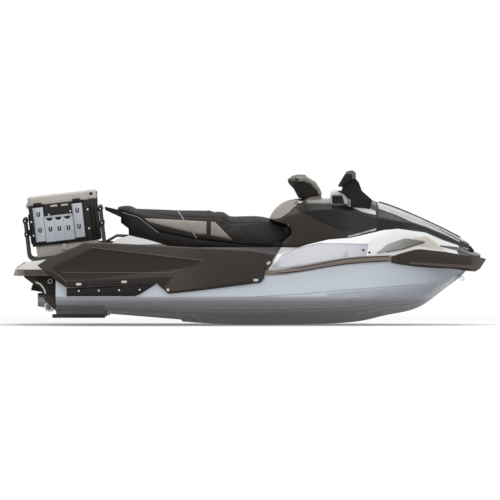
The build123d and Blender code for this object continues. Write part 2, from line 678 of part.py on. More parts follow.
# Cooler, in a frame that lies on the sloping rear deck
deck_slope = atan2(deck_head[1] - deck_foot[1], deck_head[0] - deck_foot[0])
cooler_at = (-1380.0, deck_foot[1] + (-1380.0 - deck_foot[0]) * (deck_head[1] - deck_foot[1])
             / (deck_head[0] - deck_foot[0]))
cooler_frame = Plane(origin=(cooler_at[0], 0, cooler_at[1]), x_dir=(cos(deck_slope), 0, sin(deck_slope)),
                     z_dir=(-sin(deck_slope), 0, cos(deck_slope)))
cooler_mid = 6.0
cooler_low = (464.0, 540.0)      # outside at the foot, along and across
cooler_high = (506.0, 576.0)     # outside under the lid
cooler_wall = 45.0
body_top = 416.0
lid_top = 478.5
lid_size = (520.0, 584.0)
lid_dish = 6.0


def on_cooler(x, y, z):
    return cooler_frame.from_local_coords(Vector(x, y, z))


lid_pin = 5.0
knuckle_radius = 8.0
lid_axis = (cooler_mid - lid_size[0] / 2 - 10, body_top - 4)
hinge_places = (-170.0, 170.0)     # body knuckles, across
knuckle_wide = 24.0


def cooler_side(y):
    """Upright plane along the cooler, at y, with x and z of the cooler's frame."""
    return Plane(origin=on_cooler(0, y, 0), x_dir=cooler_frame.x_dir, z_dir=(0, -1, 0))


with BuildPart() as body_hinge:
    for y in hinge_places:
        with BuildSketch(cooler_side(y + knuckle_wide / 2)) as knuckle:
            with Locations(lid_axis):
                Circle(knuckle_radius)
            Polygon((-240, 372), (-240, 404), (lid_axis[0] + 4, lid_axis[1] - 3), (lid_axis[0] - 7, lid_axis[1] - 3),
                    align=None)
        extrude(knuckle.sketch, amount=knuckle_wide)
        with BuildSketch(cooler_side(y + 1.5 * knuckle_wide + moving_gap)) as pin:
            with Locations(lid_axis):
                Circle(lid_pin)
        extrude(pin.sketch, amount=3 * knuckle_wide + 2 * moving_gap)

with BuildPart() as cooler_body:
    with BuildSketch(cooler_frame.offset(touch_gap)) as low:
        with Locations((cooler_mid, 0)):
            RectangleRounded(*cooler_low, 35)
    with BuildSketch(cooler_frame.offset(body_top - touch_gap)) as high:
        with Locations((cooler_mid, 0)):
            RectangleRounded(*cooler_high, 35)
    loft()
    with BuildSketch(cooler_frame.offset(60)):
        with Locations((cooler_mid, 0)):
            RectangleRounded(cooler_low[0] - 2 * cooler_wall, cooler_low[1] - 2 * cooler_wall, 25)
    extrude(amount=500, mode=Mode.SUBTRACT)
    add(body_hinge.part)
cooler_body.part.label = "cooler_body"

with BuildPart() as cooler_lid:
    with BuildSketch(cooler_frame.offset(body_top)):
        with Locations((cooler_mid, 0)):
            RectangleRounded(*lid_size, 35)
    extrude(amount=lid_top - body_top)
    fillet(cooler_lid.faces().sort_by(Axis((0, 0, 0), cooler_frame.z_dir))[-1].edges(), 12)
    with BuildSketch(cooler_frame.offset(lid_top)):
        with Locations((cooler_mid, 0)):
            RectangleRounded(lid_size[0] - 110, lid_size[1] - 110, 30)
    extrude(amount=-lid_dish, taper=30, mode=Mode.SUBTRACT)
    for place in hinge_places:
        for side in (-1, 1):
            y = place + side * (knuckle_wide + moving_gap)
            with BuildSketch(cooler_side(y + knuckle_wide / 2)) as knuckle:
                with Locations(lid_axis):
                    Circle(knuckle_radius)
                Polygon((lid_axis[0] - 7, lid_axis[1] + 3), (-256, 446), (-250, 446), (-250, body_top + 4),
                        (lid_axis[0] + 6, lid_axis[1] + 1), align=None)
            extrude(knuckle.sketch, amount=knuckle_wide)
            with BuildSketch(cooler_side(y + knuckle_wide)) as bore:
                with Locations(lid_axis):
                    Circle(lid_pin + pin_gap)
            extrude(bore.sketch, amount=2 * knuckle_wide, mode=Mode.SUBTRACT)
cooler_lid.part.label = "cooler_lid"

rod_bore = 22.0
caddy_y = 306.0
with BuildPart() as caddy_right:
    with BuildSketch(cooler_frame.offset(105)):
        with Locations((cooler_mid, -(caddy_y - 3))):
            Rectangle(520, 6)
    extrude(amount=310)
    with BuildSketch(cooler_frame.offset(190)):
        with Locations((-2, -(caddy_y - 3))):
            Rectangle(600, 6)
    extrude(amount=40)
    for x in (-184, 112):
        with BuildSketch(cooler_frame.offset(139)):
            with Locations((x, -(caddy_y + 33))):
                RectangleRounded(78, 66, 25)
                Circle(rod_bore, mode=Mode.SUBTRACT)
        extrude(amount=257)
    with BuildSketch(cooler_frame.offset(130)):
        with Locations((-37, -(caddy_y + 28))):
            Rectangle(216, 56)
    extrude(amount=180)
    for x in (-105, -37, 31):
        with BuildSketch(cooler_frame.offset(160)):
            with Locations((x, -(caddy_y + 28))):
                Rectangle(56, 40)
        extrude(amount=400, mode=Mode.SUBTRACT)
        # mouth in the front wall
        with BuildSketch(cooler_side(-(caddy_y + 30))) as mouth:
            with Locations((x, 310)):
                SlotOverall(48, 44)
        extrude(mouth.sketch, amount=40, mode=Mode.SUBTRACT)
    for x in (-71, -3):
        with BuildSketch(cooler_side(-(caddy_y + 53))) as groove:
            with Locations((x, 215)):
                Rectangle(5, 200)
        extrude(groove.sketch, amount=10, mode=Mode.SUBTRACT)

rack_radius = 12.0
rack_y = caddy_y + rack_radius + touch_gap
with BuildPart() as rack:
    for y in (-rack_y, rack_y):
        with BuildLine() as bend:
            FilletPolyline(on_cooler(-290, y, 330), on_cooler(-290, y, rack_radius), on_cooler(285, y, rack_radius),
                           on_cooler(285, y, 360), radius=40)
        with BuildSketch(Plane(origin=bend.line @ 0, z_dir=bend.line % 0)) as tube:
            Circle(rack_radius)
        sweep(tube.sketch, path=bend.line)
    for x, z in ((-290, 318), (285, 348)):
        with Locations(Location(on_cooler(x, 0, z), (90, 0, 0))):
            Cylinder(rack_radius - 2, 2 * rack_y)
rack.part.label = "rack"

with BuildPart() as mats:
    for side in (-1, 1):
        upward([(x, side * y) for x, y in ((-1100, 235), (-1100, 480), (105, 480), (105, 235))],
               floor_z, floor_z + 5)
mats.part.label = "mats"

pairs = {"rub_rail": rub_rail_right, "side_panel": side_panel_right, "sponson": sponson_right,
         "cowl_side": cowl_side_right, "fin": fin_right, "speaker": speaker_right, "mirror": mirror_right,
         "caddy": caddy_right}
singles = [hull, deck, rear_platform, transom_shroud, bow_bumper, bow_eye, cowl, hood, hood_panel, hood_hinge,
           storage_bin, instrument_pod, steering_cover, handlebar, grips, seat_base, seat_rear, seat_front,
           grab_handle, deck_arch, engine, pump_housing, impeller, trim_ring, steering_nozzle, reverse_bucket, ride_plate,
           intake_grate, cooler_body, cooler_lid, rack, mats]
for piece in singles:
    export_step(piece.part, f"parts/{piece.part.label}.step")
for name, piece in pairs.items():
    piece.part.label = f"{name}_right"
    export_step(piece.part, f"parts/{name}_right.step")
    other = mirror(piece.part, about=Plane.XZ)
    other.label = f"{name}_left"
    export_step(other, f"parts/{name}_left.step")
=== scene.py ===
import bpy
import bmesh
import math
from mathutils import Matrix, Vector
from mathutils.bvhtree import BVHTree


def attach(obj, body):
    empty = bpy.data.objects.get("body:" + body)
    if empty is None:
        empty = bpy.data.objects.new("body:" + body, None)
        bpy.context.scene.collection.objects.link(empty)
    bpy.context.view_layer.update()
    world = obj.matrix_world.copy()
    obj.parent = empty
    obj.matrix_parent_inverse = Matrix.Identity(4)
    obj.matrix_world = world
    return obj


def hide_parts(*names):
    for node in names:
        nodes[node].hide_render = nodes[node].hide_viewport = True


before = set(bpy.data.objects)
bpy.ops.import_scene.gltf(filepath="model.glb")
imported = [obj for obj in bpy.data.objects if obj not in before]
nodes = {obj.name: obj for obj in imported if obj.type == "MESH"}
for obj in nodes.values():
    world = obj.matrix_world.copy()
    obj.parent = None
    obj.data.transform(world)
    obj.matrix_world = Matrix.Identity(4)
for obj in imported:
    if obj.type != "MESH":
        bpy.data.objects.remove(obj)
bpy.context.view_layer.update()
print("frame loaded:", len(nodes), "nodes")


def tone(r, g, b):    # screen values to linear
    return tuple((c / 255 / 12.92) if c < 10 else ((c / 255 + 0.055) / 1.055) ** 2.4 for c in (r, g, b)) + (1.0,)


# stage, lamps and camera
stagePlan = dict(floorZ=-0.3045, floorReach=9.0, floorTone=0.86, floorLift=0.13, fadeFrom=1.9, fadeTo=4.2, ambient=0.36)
lampPlan = {    # place, aim, size, power
    "lampTop": ((0.3, -0.4, 5.2), (0, 0, 0), (8.0, 4.0), 270),
    "lampFront": ((-0.5, -7.0, 2.4), (0, 0, 0.2), (8.0, 2.6), 150),
    "lampBow": ((6.0, -2.0, 2.6), (0.8, 0, 0.3), (2.5, 3.0), 50),
    "lampStern": ((-6.0, 2.5, 2.6), (-0.8, 0, 0.3), (2.5, 3.0), 60),
}
cameraPlan = dict(lens=1500.0, centre=(-0.004, 0.0, 0.262), width=3.784, elevation=0.8)


def buildStage():
    bm = bmesh.new()
    bmesh.ops.create_circle(bm, cap_ends=True, segments=64, radius=stagePlan["floorReach"])
    bmesh.ops.translate(bm, verts=bm.verts, vec=(0, 0, stagePlan["floorZ"]))
    mesh = bpy.data.meshes.new("studioFloor")
    bm.to_mesh(mesh)
    bm.free()
    floor = bpy.data.objects.new("studioFloor", mesh)
    bpy.context.scene.collection.objects.link(floor)
    mat = bpy.data.materials.new("paleFloor")
    mat.use_nodes = True
    tree = mat.node_tree
    shade = tree.nodes["Principled BSDF"]
    shade.inputs["Roughness"].default_value = 0.9
    shade.inputs["Specular IOR Level"].default_value = 0.0
    shade.inputs["Emission Color"].default_value = (1, 1, 1, 1)
    coords = tree.nodes.new("ShaderNodeTexCoord")    # the floor fades to plain white away from the boat
    reach = tree.nodes.new("ShaderNodeVectorMath")
    reach.operation = "LENGTH"
    tree.links.new(coords.outputs["Object"], reach.inputs[0])
    fade = tree.nodes.new("ShaderNodeMapRange")
    fade.interpolation_type = "SMOOTHSTEP"
    fade.inputs["From Min"].default_value = stagePlan["fadeFrom"]
    fade.inputs["From Max"].default_value = stagePlan["fadeTo"]
    tree.links.new(reach.outputs["Value"], fade.inputs["Value"])
    ground = tree.nodes.new("ShaderNodeMix")
    ground.data_type = "RGBA"
    ground.inputs[6].default_value = (stagePlan["floorTone"],) * 3 + (1,)
    ground.inputs[7].default_value = (0, 0, 0, 1)
    tree.links.new(fade.outputs[0], ground.inputs[0])
    tree.links.new(ground.outputs[2], shade.inputs["Base Color"])
    lift = tree.nodes.new("ShaderNodeMapRange")
    lift.inputs["To Min"].default_value = stagePlan["floorLift"]
    lift.inputs["To Max"].default_value = 1.0
    tree.links.new(fade.outputs[0], lift.inputs["Value"])
    path = tree.nodes.new("ShaderNodeLightPath")
    seen = tree.nodes.new("ShaderNodeMath")
    seen.operation = "MAXIMUM"
    tree.links.new(path.outputs["Is Camera Ray"], seen.inputs[0])
    tree.links.new(path.outputs["Is Glossy Ray"], seen.inputs[1])
    glow = tree.nodes.new("ShaderNodeMath")
    glow.operation = "MULTIPLY"
    tree.links.new(seen.outputs[0], glow.inputs[0])
    tree.links.new(lift.outputs[0], glow.inputs[1])
    tree.links.new(glow.outputs[0], shade.inputs["Emission Strength"])
    floor.data.materials.append(mat)


def buildWorld():
    world = bpy.data.worlds.new("studio")
    bpy.context.scene.world = world
    world.use_nodes = True
    tree = world.node_tree
    back = tree.nodes["Background"]
    back.inputs["Color"].default_value = (1, 1, 1, 1)
    path = tree.nodes.new("ShaderNodeLightPath")
    seen = tree.nodes.new("ShaderNodeMath")
    seen.operation = "MAXIMUM"
    also = tree.nodes.new("ShaderNodeMath")
    also.operation = "MAXIMUM"
    level = tree.nodes.new("ShaderNodeMapRange")
    level.inputs["To Min"].default_value = stagePlan["ambient"]
    level.inputs["To Max"].default_value = 1.0
    tree.links.new(path.outputs["Is Camera Ray"], seen.inputs[0])
    tree.links.new(path.outputs["Is Glossy Ray"], seen.inputs[1])
    tree.links.new(seen.outputs[0], also.inputs[0])
    tree.links.new(path.outputs["Is Transmission Ray"], also.inputs[1])
    tree.links.new(also.outputs[0], level.inputs["Value"])
    tree.links.new(level.outputs[0], back.inputs["Strength"])


def buildLamps():
    for name, (place, aim, size, power) in lampPlan.items():
        lamp = bpy.data.lights.new(name, "AREA")
        lamp.shape = "RECTANGLE"
        lamp.size, lamp.size_y = size
        lamp.energy = power
        holder = bpy.data.objects.new(name, lamp)
        bpy.context.scene.collection.objects.link(holder)
        holder.location = place
        holder.rotation_euler = (Vector(aim) - Vector(place)).to_track_quat("-Z", "Y").to_euler()


def buildCamera():
    lens = bpy.data.cameras.new("photoCamera")
    lens.lens = cameraPlan["lens"]
    lens.sensor_width = 36.0
    camera = bpy.data.objects.new("photoCamera", lens)
    bpy.context.scene.collection.objects.link(camera)
    away = cameraPlan["width"] * cameraPlan["lens"] / lens.sensor_width
    tilt = math.radians(cameraPlan["elevation"])
    centre = Vector(cameraPlan["centre"])
    camera.location = centre + away * Vector((0, -math.cos(tilt), math.sin(tilt)))
    camera.rotation_euler = (centre - camera.location).to_track_quat("-Z", "Y").to_euler()
    lens.clip_end = 400
    bpy.context.scene.camera = camera


bpy.context.scene.view_settings.view_transform = "Standard"
buildStage()
buildWorld()
buildLamps()
buildCamera()
print("stage, lamps and camera set")


# finishes shared by the materials
def newGroup(name, inputs, outputs):
    group = bpy.data.node_groups.new(name, "ShaderNodeTree")
    for label, kind, value in inputs:
        socket = group.interface.new_socket(name=label, in_out="INPUT", socket_type=kind)
        socket.default_value = value
    for label, kind in outputs:
        group.interface.new_socket(name=label, in_out="OUTPUT", socket_type=kind)
    start = group.nodes.new("NodeGroupInput")
    end = group.nodes.new("NodeGroupOutput")
    return group, start, end


def mathNode(tree, operation, a, b=None, clamp=False):
    node = tree.nodes.new("ShaderNodeMath")
    node.operation = operation
    node.use_clamp = clamp
    for place, value in enumerate((a, b)):
        if value is None:
            continue
        if isinstance(value, (int, float)):
            node.inputs[place].default_value = value
        else:
            tree.links.new(value, node.inputs[place])
    return node.outputs[0]


def makeMouldFinish():    # slow colour drift, uneven gloss and a fine grain
    group, start, end = newGroup(
        "mouldFinish",
        [("Colour", "NodeSocketColor", (0.5, 0.5, 0.5, 1)), ("Drift", "NodeSocketFloat", 0.06),
         ("Drift Scale", "NodeSocketFloat", 4.0), ("Rough", "NodeSocketFloat", 0.4),
         ("Rough Spread", "NodeSocketFloat", 0.1), ("Grain Scale", "NodeSocketFloat", 600.0)],
        [("Colour", "NodeSocketColor"), ("Roughness", "NodeSocketFloat"), ("Height", "NodeSocketFloat")])
    coords = group.nodes.new("ShaderNodeTexCoord")
    drift = group.nodes.new("ShaderNodeTexNoise")
    drift.inputs["Detail"].default_value = 3.0
    grain = group.nodes.new("ShaderNodeTexNoise")
    grain.inputs["Detail"].default_value = 2.0
    smear = group.nodes.new("ShaderNodeTexNoise")
    smear.inputs["Scale"].default_value = 17.0
    for texture in (drift, grain, smear):
        group.links.new(coords.outputs["Object"], texture.inputs["Vector"])
    group.links.new(start.outputs["Drift Scale"], drift.inputs["Scale"])
    group.links.new(start.outputs["Grain Scale"], grain.inputs["Scale"])
    swing = mathNode(group, "SUBTRACT", drift.outputs["Fac"], 0.5)
    swing = mathNode(group, "MULTIPLY", swing, start.outputs["Drift"])
    value = mathNode(group, "MULTIPLY_ADD", swing, 2.0)
    value.node.inputs[2].default_value = 1.0
    shift = group.nodes.new("ShaderNodeHueSaturation")
    group.links.new(start.outputs["Colour"], shift.inputs["Color"])
    group.links.new(value, shift.inputs["Value"])
    group.links.new(shift.outputs["Color"], end.inputs["Colour"])
    gloss = mathNode(group, "SUBTRACT", smear.outputs["Fac"], 0.5)
    gloss = mathNode(group, "MULTIPLY", gloss, start.outputs["Rough Spread"])
    gloss = mathNode(group, "ADD", gloss, start.outputs["Rough"], clamp=True)
    group.links.new(gloss, end.inputs["Roughness"])
    group.links.new(grain.outputs["Fac"], end.inputs["Height"])
    return group


mouldFinish = makeMouldFinish()


def sideRegion(tree, points, soft=0.0015):    # mask of a convex outline seen from the side, points in mm, clockwise or not
    coords = tree.nodes.new("ShaderNodeTexCoord")
    area = sum(x0 * z1 - x1 * z0 for (x0, z0), (x1, z1) in zip(points, points[1:] + points[:1]))
    turn = 1.0 if area > 0 else -1.0
    mask = None
    for (x0, z0), (x1, z1) in zip(points, points[1:] + points[:1]):
        size = math.hypot(x1 - x0, z1 - z0)
        normal = (-(z1 - z0) / size * turn, 0, (x1 - x0) / size * turn)
        dot = tree.nodes.new("ShaderNodeVectorMath")
        dot.operation = "DOT_PRODUCT"
        dot.inputs[1].default_value = normal
        tree.links.new(coords.outputs["Object"], dot.inputs[0])
        edge = tree.nodes.new("ShaderNodeMapRange")
        level = (normal[0] * x0 + normal[2] * z0) / 1000
        edge.inputs["From Min"].default_value = level - soft
        edge.inputs["From Max"].default_value = level + soft
        tree.links.new(dot.outputs["Value"], edge.inputs["Value"])
        mask = edge.outputs[0] if mask is None else mathNode(tree, "MULTIPLY", mask, edge.outputs[0])
    return mask


def mixColour(tree, mask, a, b):
    mix = tree.nodes.new("ShaderNodeMix")
    mix.data_type = "RGBA"
    tree.links.new(mask, mix.inputs[0])
    for value, place in ((a, 6), (b, 7)):
        if isinstance(value, tuple):
            mix.inputs[place].default_value = value
        else:
            tree.links.new(value, mix.inputs[place])
    return mix.outputs[2]


def axisBands(tree, axis, stops):    # colour by height or place along one axis, stops in mm
    coords = tree.nodes.new("ShaderNodeTexCoord")
    split = tree.nodes.new("ShaderNodeSeparateXYZ")
    tree.links.new(coords.outputs["Object"], split.inputs[0])
    low, high = stops[0][0], stops[-1][0]
    place = tree.nodes.new("ShaderNodeMapRange")
    place.inputs["From Min"].default_value = low / 1000
    place.inputs["From Max"].default_value = high / 1000
    tree.links.new(split.outputs[axis], place.inputs["Value"])
    ramp = tree.nodes.new("ShaderNodeValToRGB")
    ramp.color_ramp.elements[0].color = stops[0][1]
    ramp.color_ramp.elements[1].color = stops[-1][1]
    for level, colour in stops[1:-1]:
        step = ramp.color_ramp.elements.new((level - low) / (high - low))
        step.color = colour
    tree.links.new(place.outputs[0], ramp.inputs["Fac"])
    return ramp.outputs["Color"]


def finish(name, colour, rough=0.4, spread=0.1, drift=0.05, driftScale=4.0, grain=600.0, bump=0.08, metal=0.0, coat=0.0,
           specular=0.5, paint=None):
    mat = bpy.data.materials.new(name)
    mat.use_nodes = True
    tree = mat.node_tree
    shade = tree.nodes["Principled BSDF"]
    look = tree.nodes.new("ShaderNodeGroup")
    look.node_tree = mouldFinish
    look.inputs["Colour"].default_value = colour
    look.inputs["Drift"].default_value = drift
    look.inputs["Drift Scale"].default_value = driftScale
    look.inputs["Rough"].default_value = rough
    look.inputs["Rough Spread"].default_value = spread
    look.inputs["Grain Scale"].default_value = grain
    if paint:
        tree.links.new(paint(tree), look.inputs["Colour"])
    tree.links.new(look.outputs["Colour"], shade.inputs["Base Color"])
    tree.links.new(look.outputs["Roughness"], shade.inputs["Roughness"])
    relief = tree.nodes.new("ShaderNodeBump")
    relief.inputs["Strength"].default_value = bump
    relief.inputs["Distance"].default_value = 0.001
    tree.links.new(look.outputs["Height"], relief.inputs["Height"])
    tree.links.new(relief.outputs["Normal"], shade.inputs["Normal"])
    shade.inputs["Metallic"].default_value = metal
    shade.inputs["Coat Weight"].default_value = coat
    shade.inputs["Coat Roughness"].default_value = 0.06
    shade.inputs["Specular IOR Level"].default_value = specular
    return mat


iceSilver = tone(196, 204, 213)


def hullPaint(tree):    # bands by height, darker toward the keel, partly the darker bottom and partly painted shade; painted shade under the fold and toward the stem
    bands = axisBands(tree, "Z", [(-310, tone(118, 110, 104)), (-232, tone(126, 120, 117)), (-226, tone(134, 131, 133)),
                                 (-118, tone(138, 138, 143)), (-112, tone(150, 152, 158)), (-84, tone(168, 172, 179)),
                                 (-80, iceSilver), (200, tone(198, 206, 215))])
    fold = sideRegion(tree, [(560, -62), (753, -41), (1187, -5), (1477, 6), (1700, 6), (1500, -84), (600, -84)], 0.004)
    fade = axisBands(tree, "X", [(880, (0, 0, 0, 1)), (1283, (0.34, 0.34, 0.34, 1)), (1470, (0.8, 0.8, 0.8, 1)), (1600, (1, 1, 1, 1))])
    stem = mathNode(tree, "MULTIPLY", sideRegion(tree, [(850, 300), (1850, 300), (1850, -84), (850, -84)], 0.01), fade)
    return mixColour(tree, stem, mixColour(tree, fold, bands, tone(168, 175, 185)), tone(130, 136, 146))


def platformPaint(tree):
    edge = axisBands(tree, "X", [(-1791, tone(128, 120, 113)), (-1722, tone(120, 112, 105)), (-1700, tone(66, 58, 53)), (-1100, tone(58, 51, 46))])
    top = axisBands(tree, "Z", [(119, tone(0, 0, 0)), (123, tone(255, 255, 255)), (260, tone(255, 255, 255))])
    return mixColour(tree, top, edge, tone(236, 234, 233))


def caddyPaint(tree):    # silver holders on a black plate, with painted shade inside the pockets
    black = tone(16, 14, 13)
    silver = tone(186, 191, 199)
    base = axisBands(tree, "Y", [(-400, silver), (-307.2, silver), (-306.8, black), (306.8, black), (307.2, silver), (400, silver)])
    block = [(-1380 + x * 0.99336 - z * 0.11501, 213.4 + x * 0.11501 + z * 0.99336) for x, z in ((-143, 128), (69, 128), (69, 314), (-143, 314))]
    coords = tree.nodes.new("ShaderNodeTexCoord")
    split = tree.nodes.new("ShaderNodeSeparateXYZ")
    tree.links.new(coords.outputs["Object"], split.inputs[0])
    inner = mathNode(tree, "LESS_THAN", mathNode(tree, "ABSOLUTE", split.outputs["Y"]), 0.3538)
    return mixColour(tree, mathNode(tree, "MULTIPLY", sideRegion(tree, block), inner), base, black)


def panelPaint(tree):    # painted shade: the sunk field, the lower skirt and heel, and the fore end are darker than the rim
    field = sideRegion(tree, [(-1518, 136), (-1203, 291), (-341, 189), (-587, 77), (-1215, 50), (-1387, 30)])
    low = sideRegion(tree, [(-1387, 30), (-1215, 46), (-587, 72), (-690, -80), (-1387, -80)], 0.008)
    heel = sideRegion(tree, [(-1620, 110), (-1518, 116), (-1387, 30), (-1387, -80), (-1620, -80)], 0.01)
    skirt = mathNode(tree, "MAXIMUM", low, heel)
    fore = axisBands(tree, "X", [(-560, tone(64, 57, 52)), (-300, tone(52, 45, 41)), (200, tone(42, 36, 32))])
    return mixColour(tree, field, mixColour(tree, skirt, fore, tone(34, 28, 25)), tone(38, 31, 27))


def deckPaint(tree):    # white, with a dark nose and dark footwells; painted shade on the outward-facing flanks, and a warm painted shade on a facet by the bow
    nose = sideRegion(tree, [(1585, 330), (1800, 260), (1800, 150), (1640, 150), (1560, 250)])
    well = sideRegion(tree, [(-1120, 298), (256, 340), (256, 326), (122, 100), (-1120, 100)])
    coords = tree.nodes.new("ShaderNodeTexCoord")
    split = tree.nodes.new("ShaderNodeSeparateXYZ")
    tree.links.new(coords.outputs["Object"], split.inputs[0])
    surface = tree.nodes.new("ShaderNodeNewGeometry")
    facing = tree.nodes.new("ShaderNodeSeparateXYZ")
    tree.links.new(surface.outputs["Normal"], facing.inputs[0])
    outer = mathNode(tree, "GREATER_THAN", mathNode(tree, "ABSOLUTE", split.outputs["Y"]), 0.44)
    rim = mathNode(tree, "MULTIPLY", sideRegion(tree, [(-1130, 345), (180, 345), (122, 100), (-1130, 100)]), outer)
    dark = mathNode(tree, "MAXIMUM", mathNode(tree, "MAXIMUM", nose, well), rim)
    outside = mathNode(tree, "GREATER_THAN", mathNode(tree, "MULTIPLY", split.outputs["Y"], facing.outputs["Y"]), 0.27)
    flank = sideRegion(tree, [(237, 236), (358, 284), (515, 318), (891, 312), (870, 215), (358, 139), (153, 121)])
    wide = mathNode(tree, "GREATER_THAN", mathNode(tree, "ABSOLUTE", split.outputs["Y"]), 0.38)
    shell = mixColour(tree, mathNode(tree, "MULTIPLY", mathNode(tree, "MULTIPLY", flank, wide), outside), tone(222, 222, 223), tone(172, 173, 181))
    warmFacetShade = sideRegion(tree, [(1223, 357), (1332, 372), (1484, 252), (1274, 292)], 0.01)
    return mixColour(tree, dark, mixColour(tree, warmFacetShade, shell, tone(190, 182, 174)), tone(36, 31, 28))


def bumperPaint(tree):    # painted light: the forward-facing nose is lighter than the side; a lighter band along the lip; painted shadow along the foot, under the bumper
    side = axisBands(tree, "X", [(900, tone(44, 36, 31)), (1660, tone(46, 38, 33)), (1690, tone(78, 71, 67)), (1800, tone(84, 78, 74))])
    lip = sideRegion(tree, [(1200, 178), (1720, 146), (1720, 120), (1200, 163)], 0.003)
    foot = sideRegion(tree, [(1040, 173), (1650, 124), (1650, 60), (1040, 60)], 0.002)
    return mixColour(tree, foot, mixColour(tree, lip, side, tone(84, 73, 65)), tone(14, 12, 11))


def finPaint(tree):
    return axisBands(tree, "X", [(950, tone(152, 156, 150)), (1090, tone(136, 140, 134)), (1207, tone(104, 104, 100)), (1330, tone(82, 79, 74))])


def podPaint(tree):    # silver pod on a black foot
    return axisBands(tree, "Z", [(560, tone(20, 17, 15)), (612, tone(20, 17, 15)), (616, tone(186, 188, 189)), (760, tone(190, 192, 193))])


def platePaint(tree):    # grey plate with a black sole; the sole is the plate's dark colour and painted shade under the hull
    return axisBands(tree, "Z", [(-300, tone(30, 27, 25)), (-226, tone(34, 31, 29)), (-221, tone(120, 116, 115)), (-150, tone(132, 130, 131))])


def seatPaint(tree):
    rear = sideRegion(tree, [(-800, 505), (-332, 481), (-332, 386), (-400, 386), (-770, 478)])
    front = sideRegion(tree, [(-299, 479), (-269, 477), (-140, 344), (-299, 378)])
    both = mathNode(tree, "MAXIMUM", rear, front)
    return mixColour(tree, both, tone(32, 28, 26), tone(158, 150, 143))


def coverPaint(tree):    # black sides under a grey front edge
    dark = sideRegion(tree, [(250, 800), (385, 790), (452, 768), (503, 715), (524, 640), (250, 640)], 0.003)
    return mixColour(tree, dark, tone(118, 113, 108), tone(20, 17, 15))


def cowlPaint(tree):    # a pale ridge between the latch and the speaker
    ridge = sideRegion(tree, [(400, 690), (432, 622), (700, 618), (780, 640), (780, 690)], 0.006)
    return mixColour(tree, ridge, tone(47, 41, 36), tone(142, 138, 133))


def shoulderPaint(tree):    # painted shade: the cover's upward-facing shoulder is darker than its side
    side = sideRegion(tree, [(290, 500), (410, 551), (536, 566), (624, 571), (780, 566), (1100, 540), (1100, 300), (290, 300)], 0.006)
    return mixColour(tree, side, tone(15, 13, 12), tone(31, 28, 25))


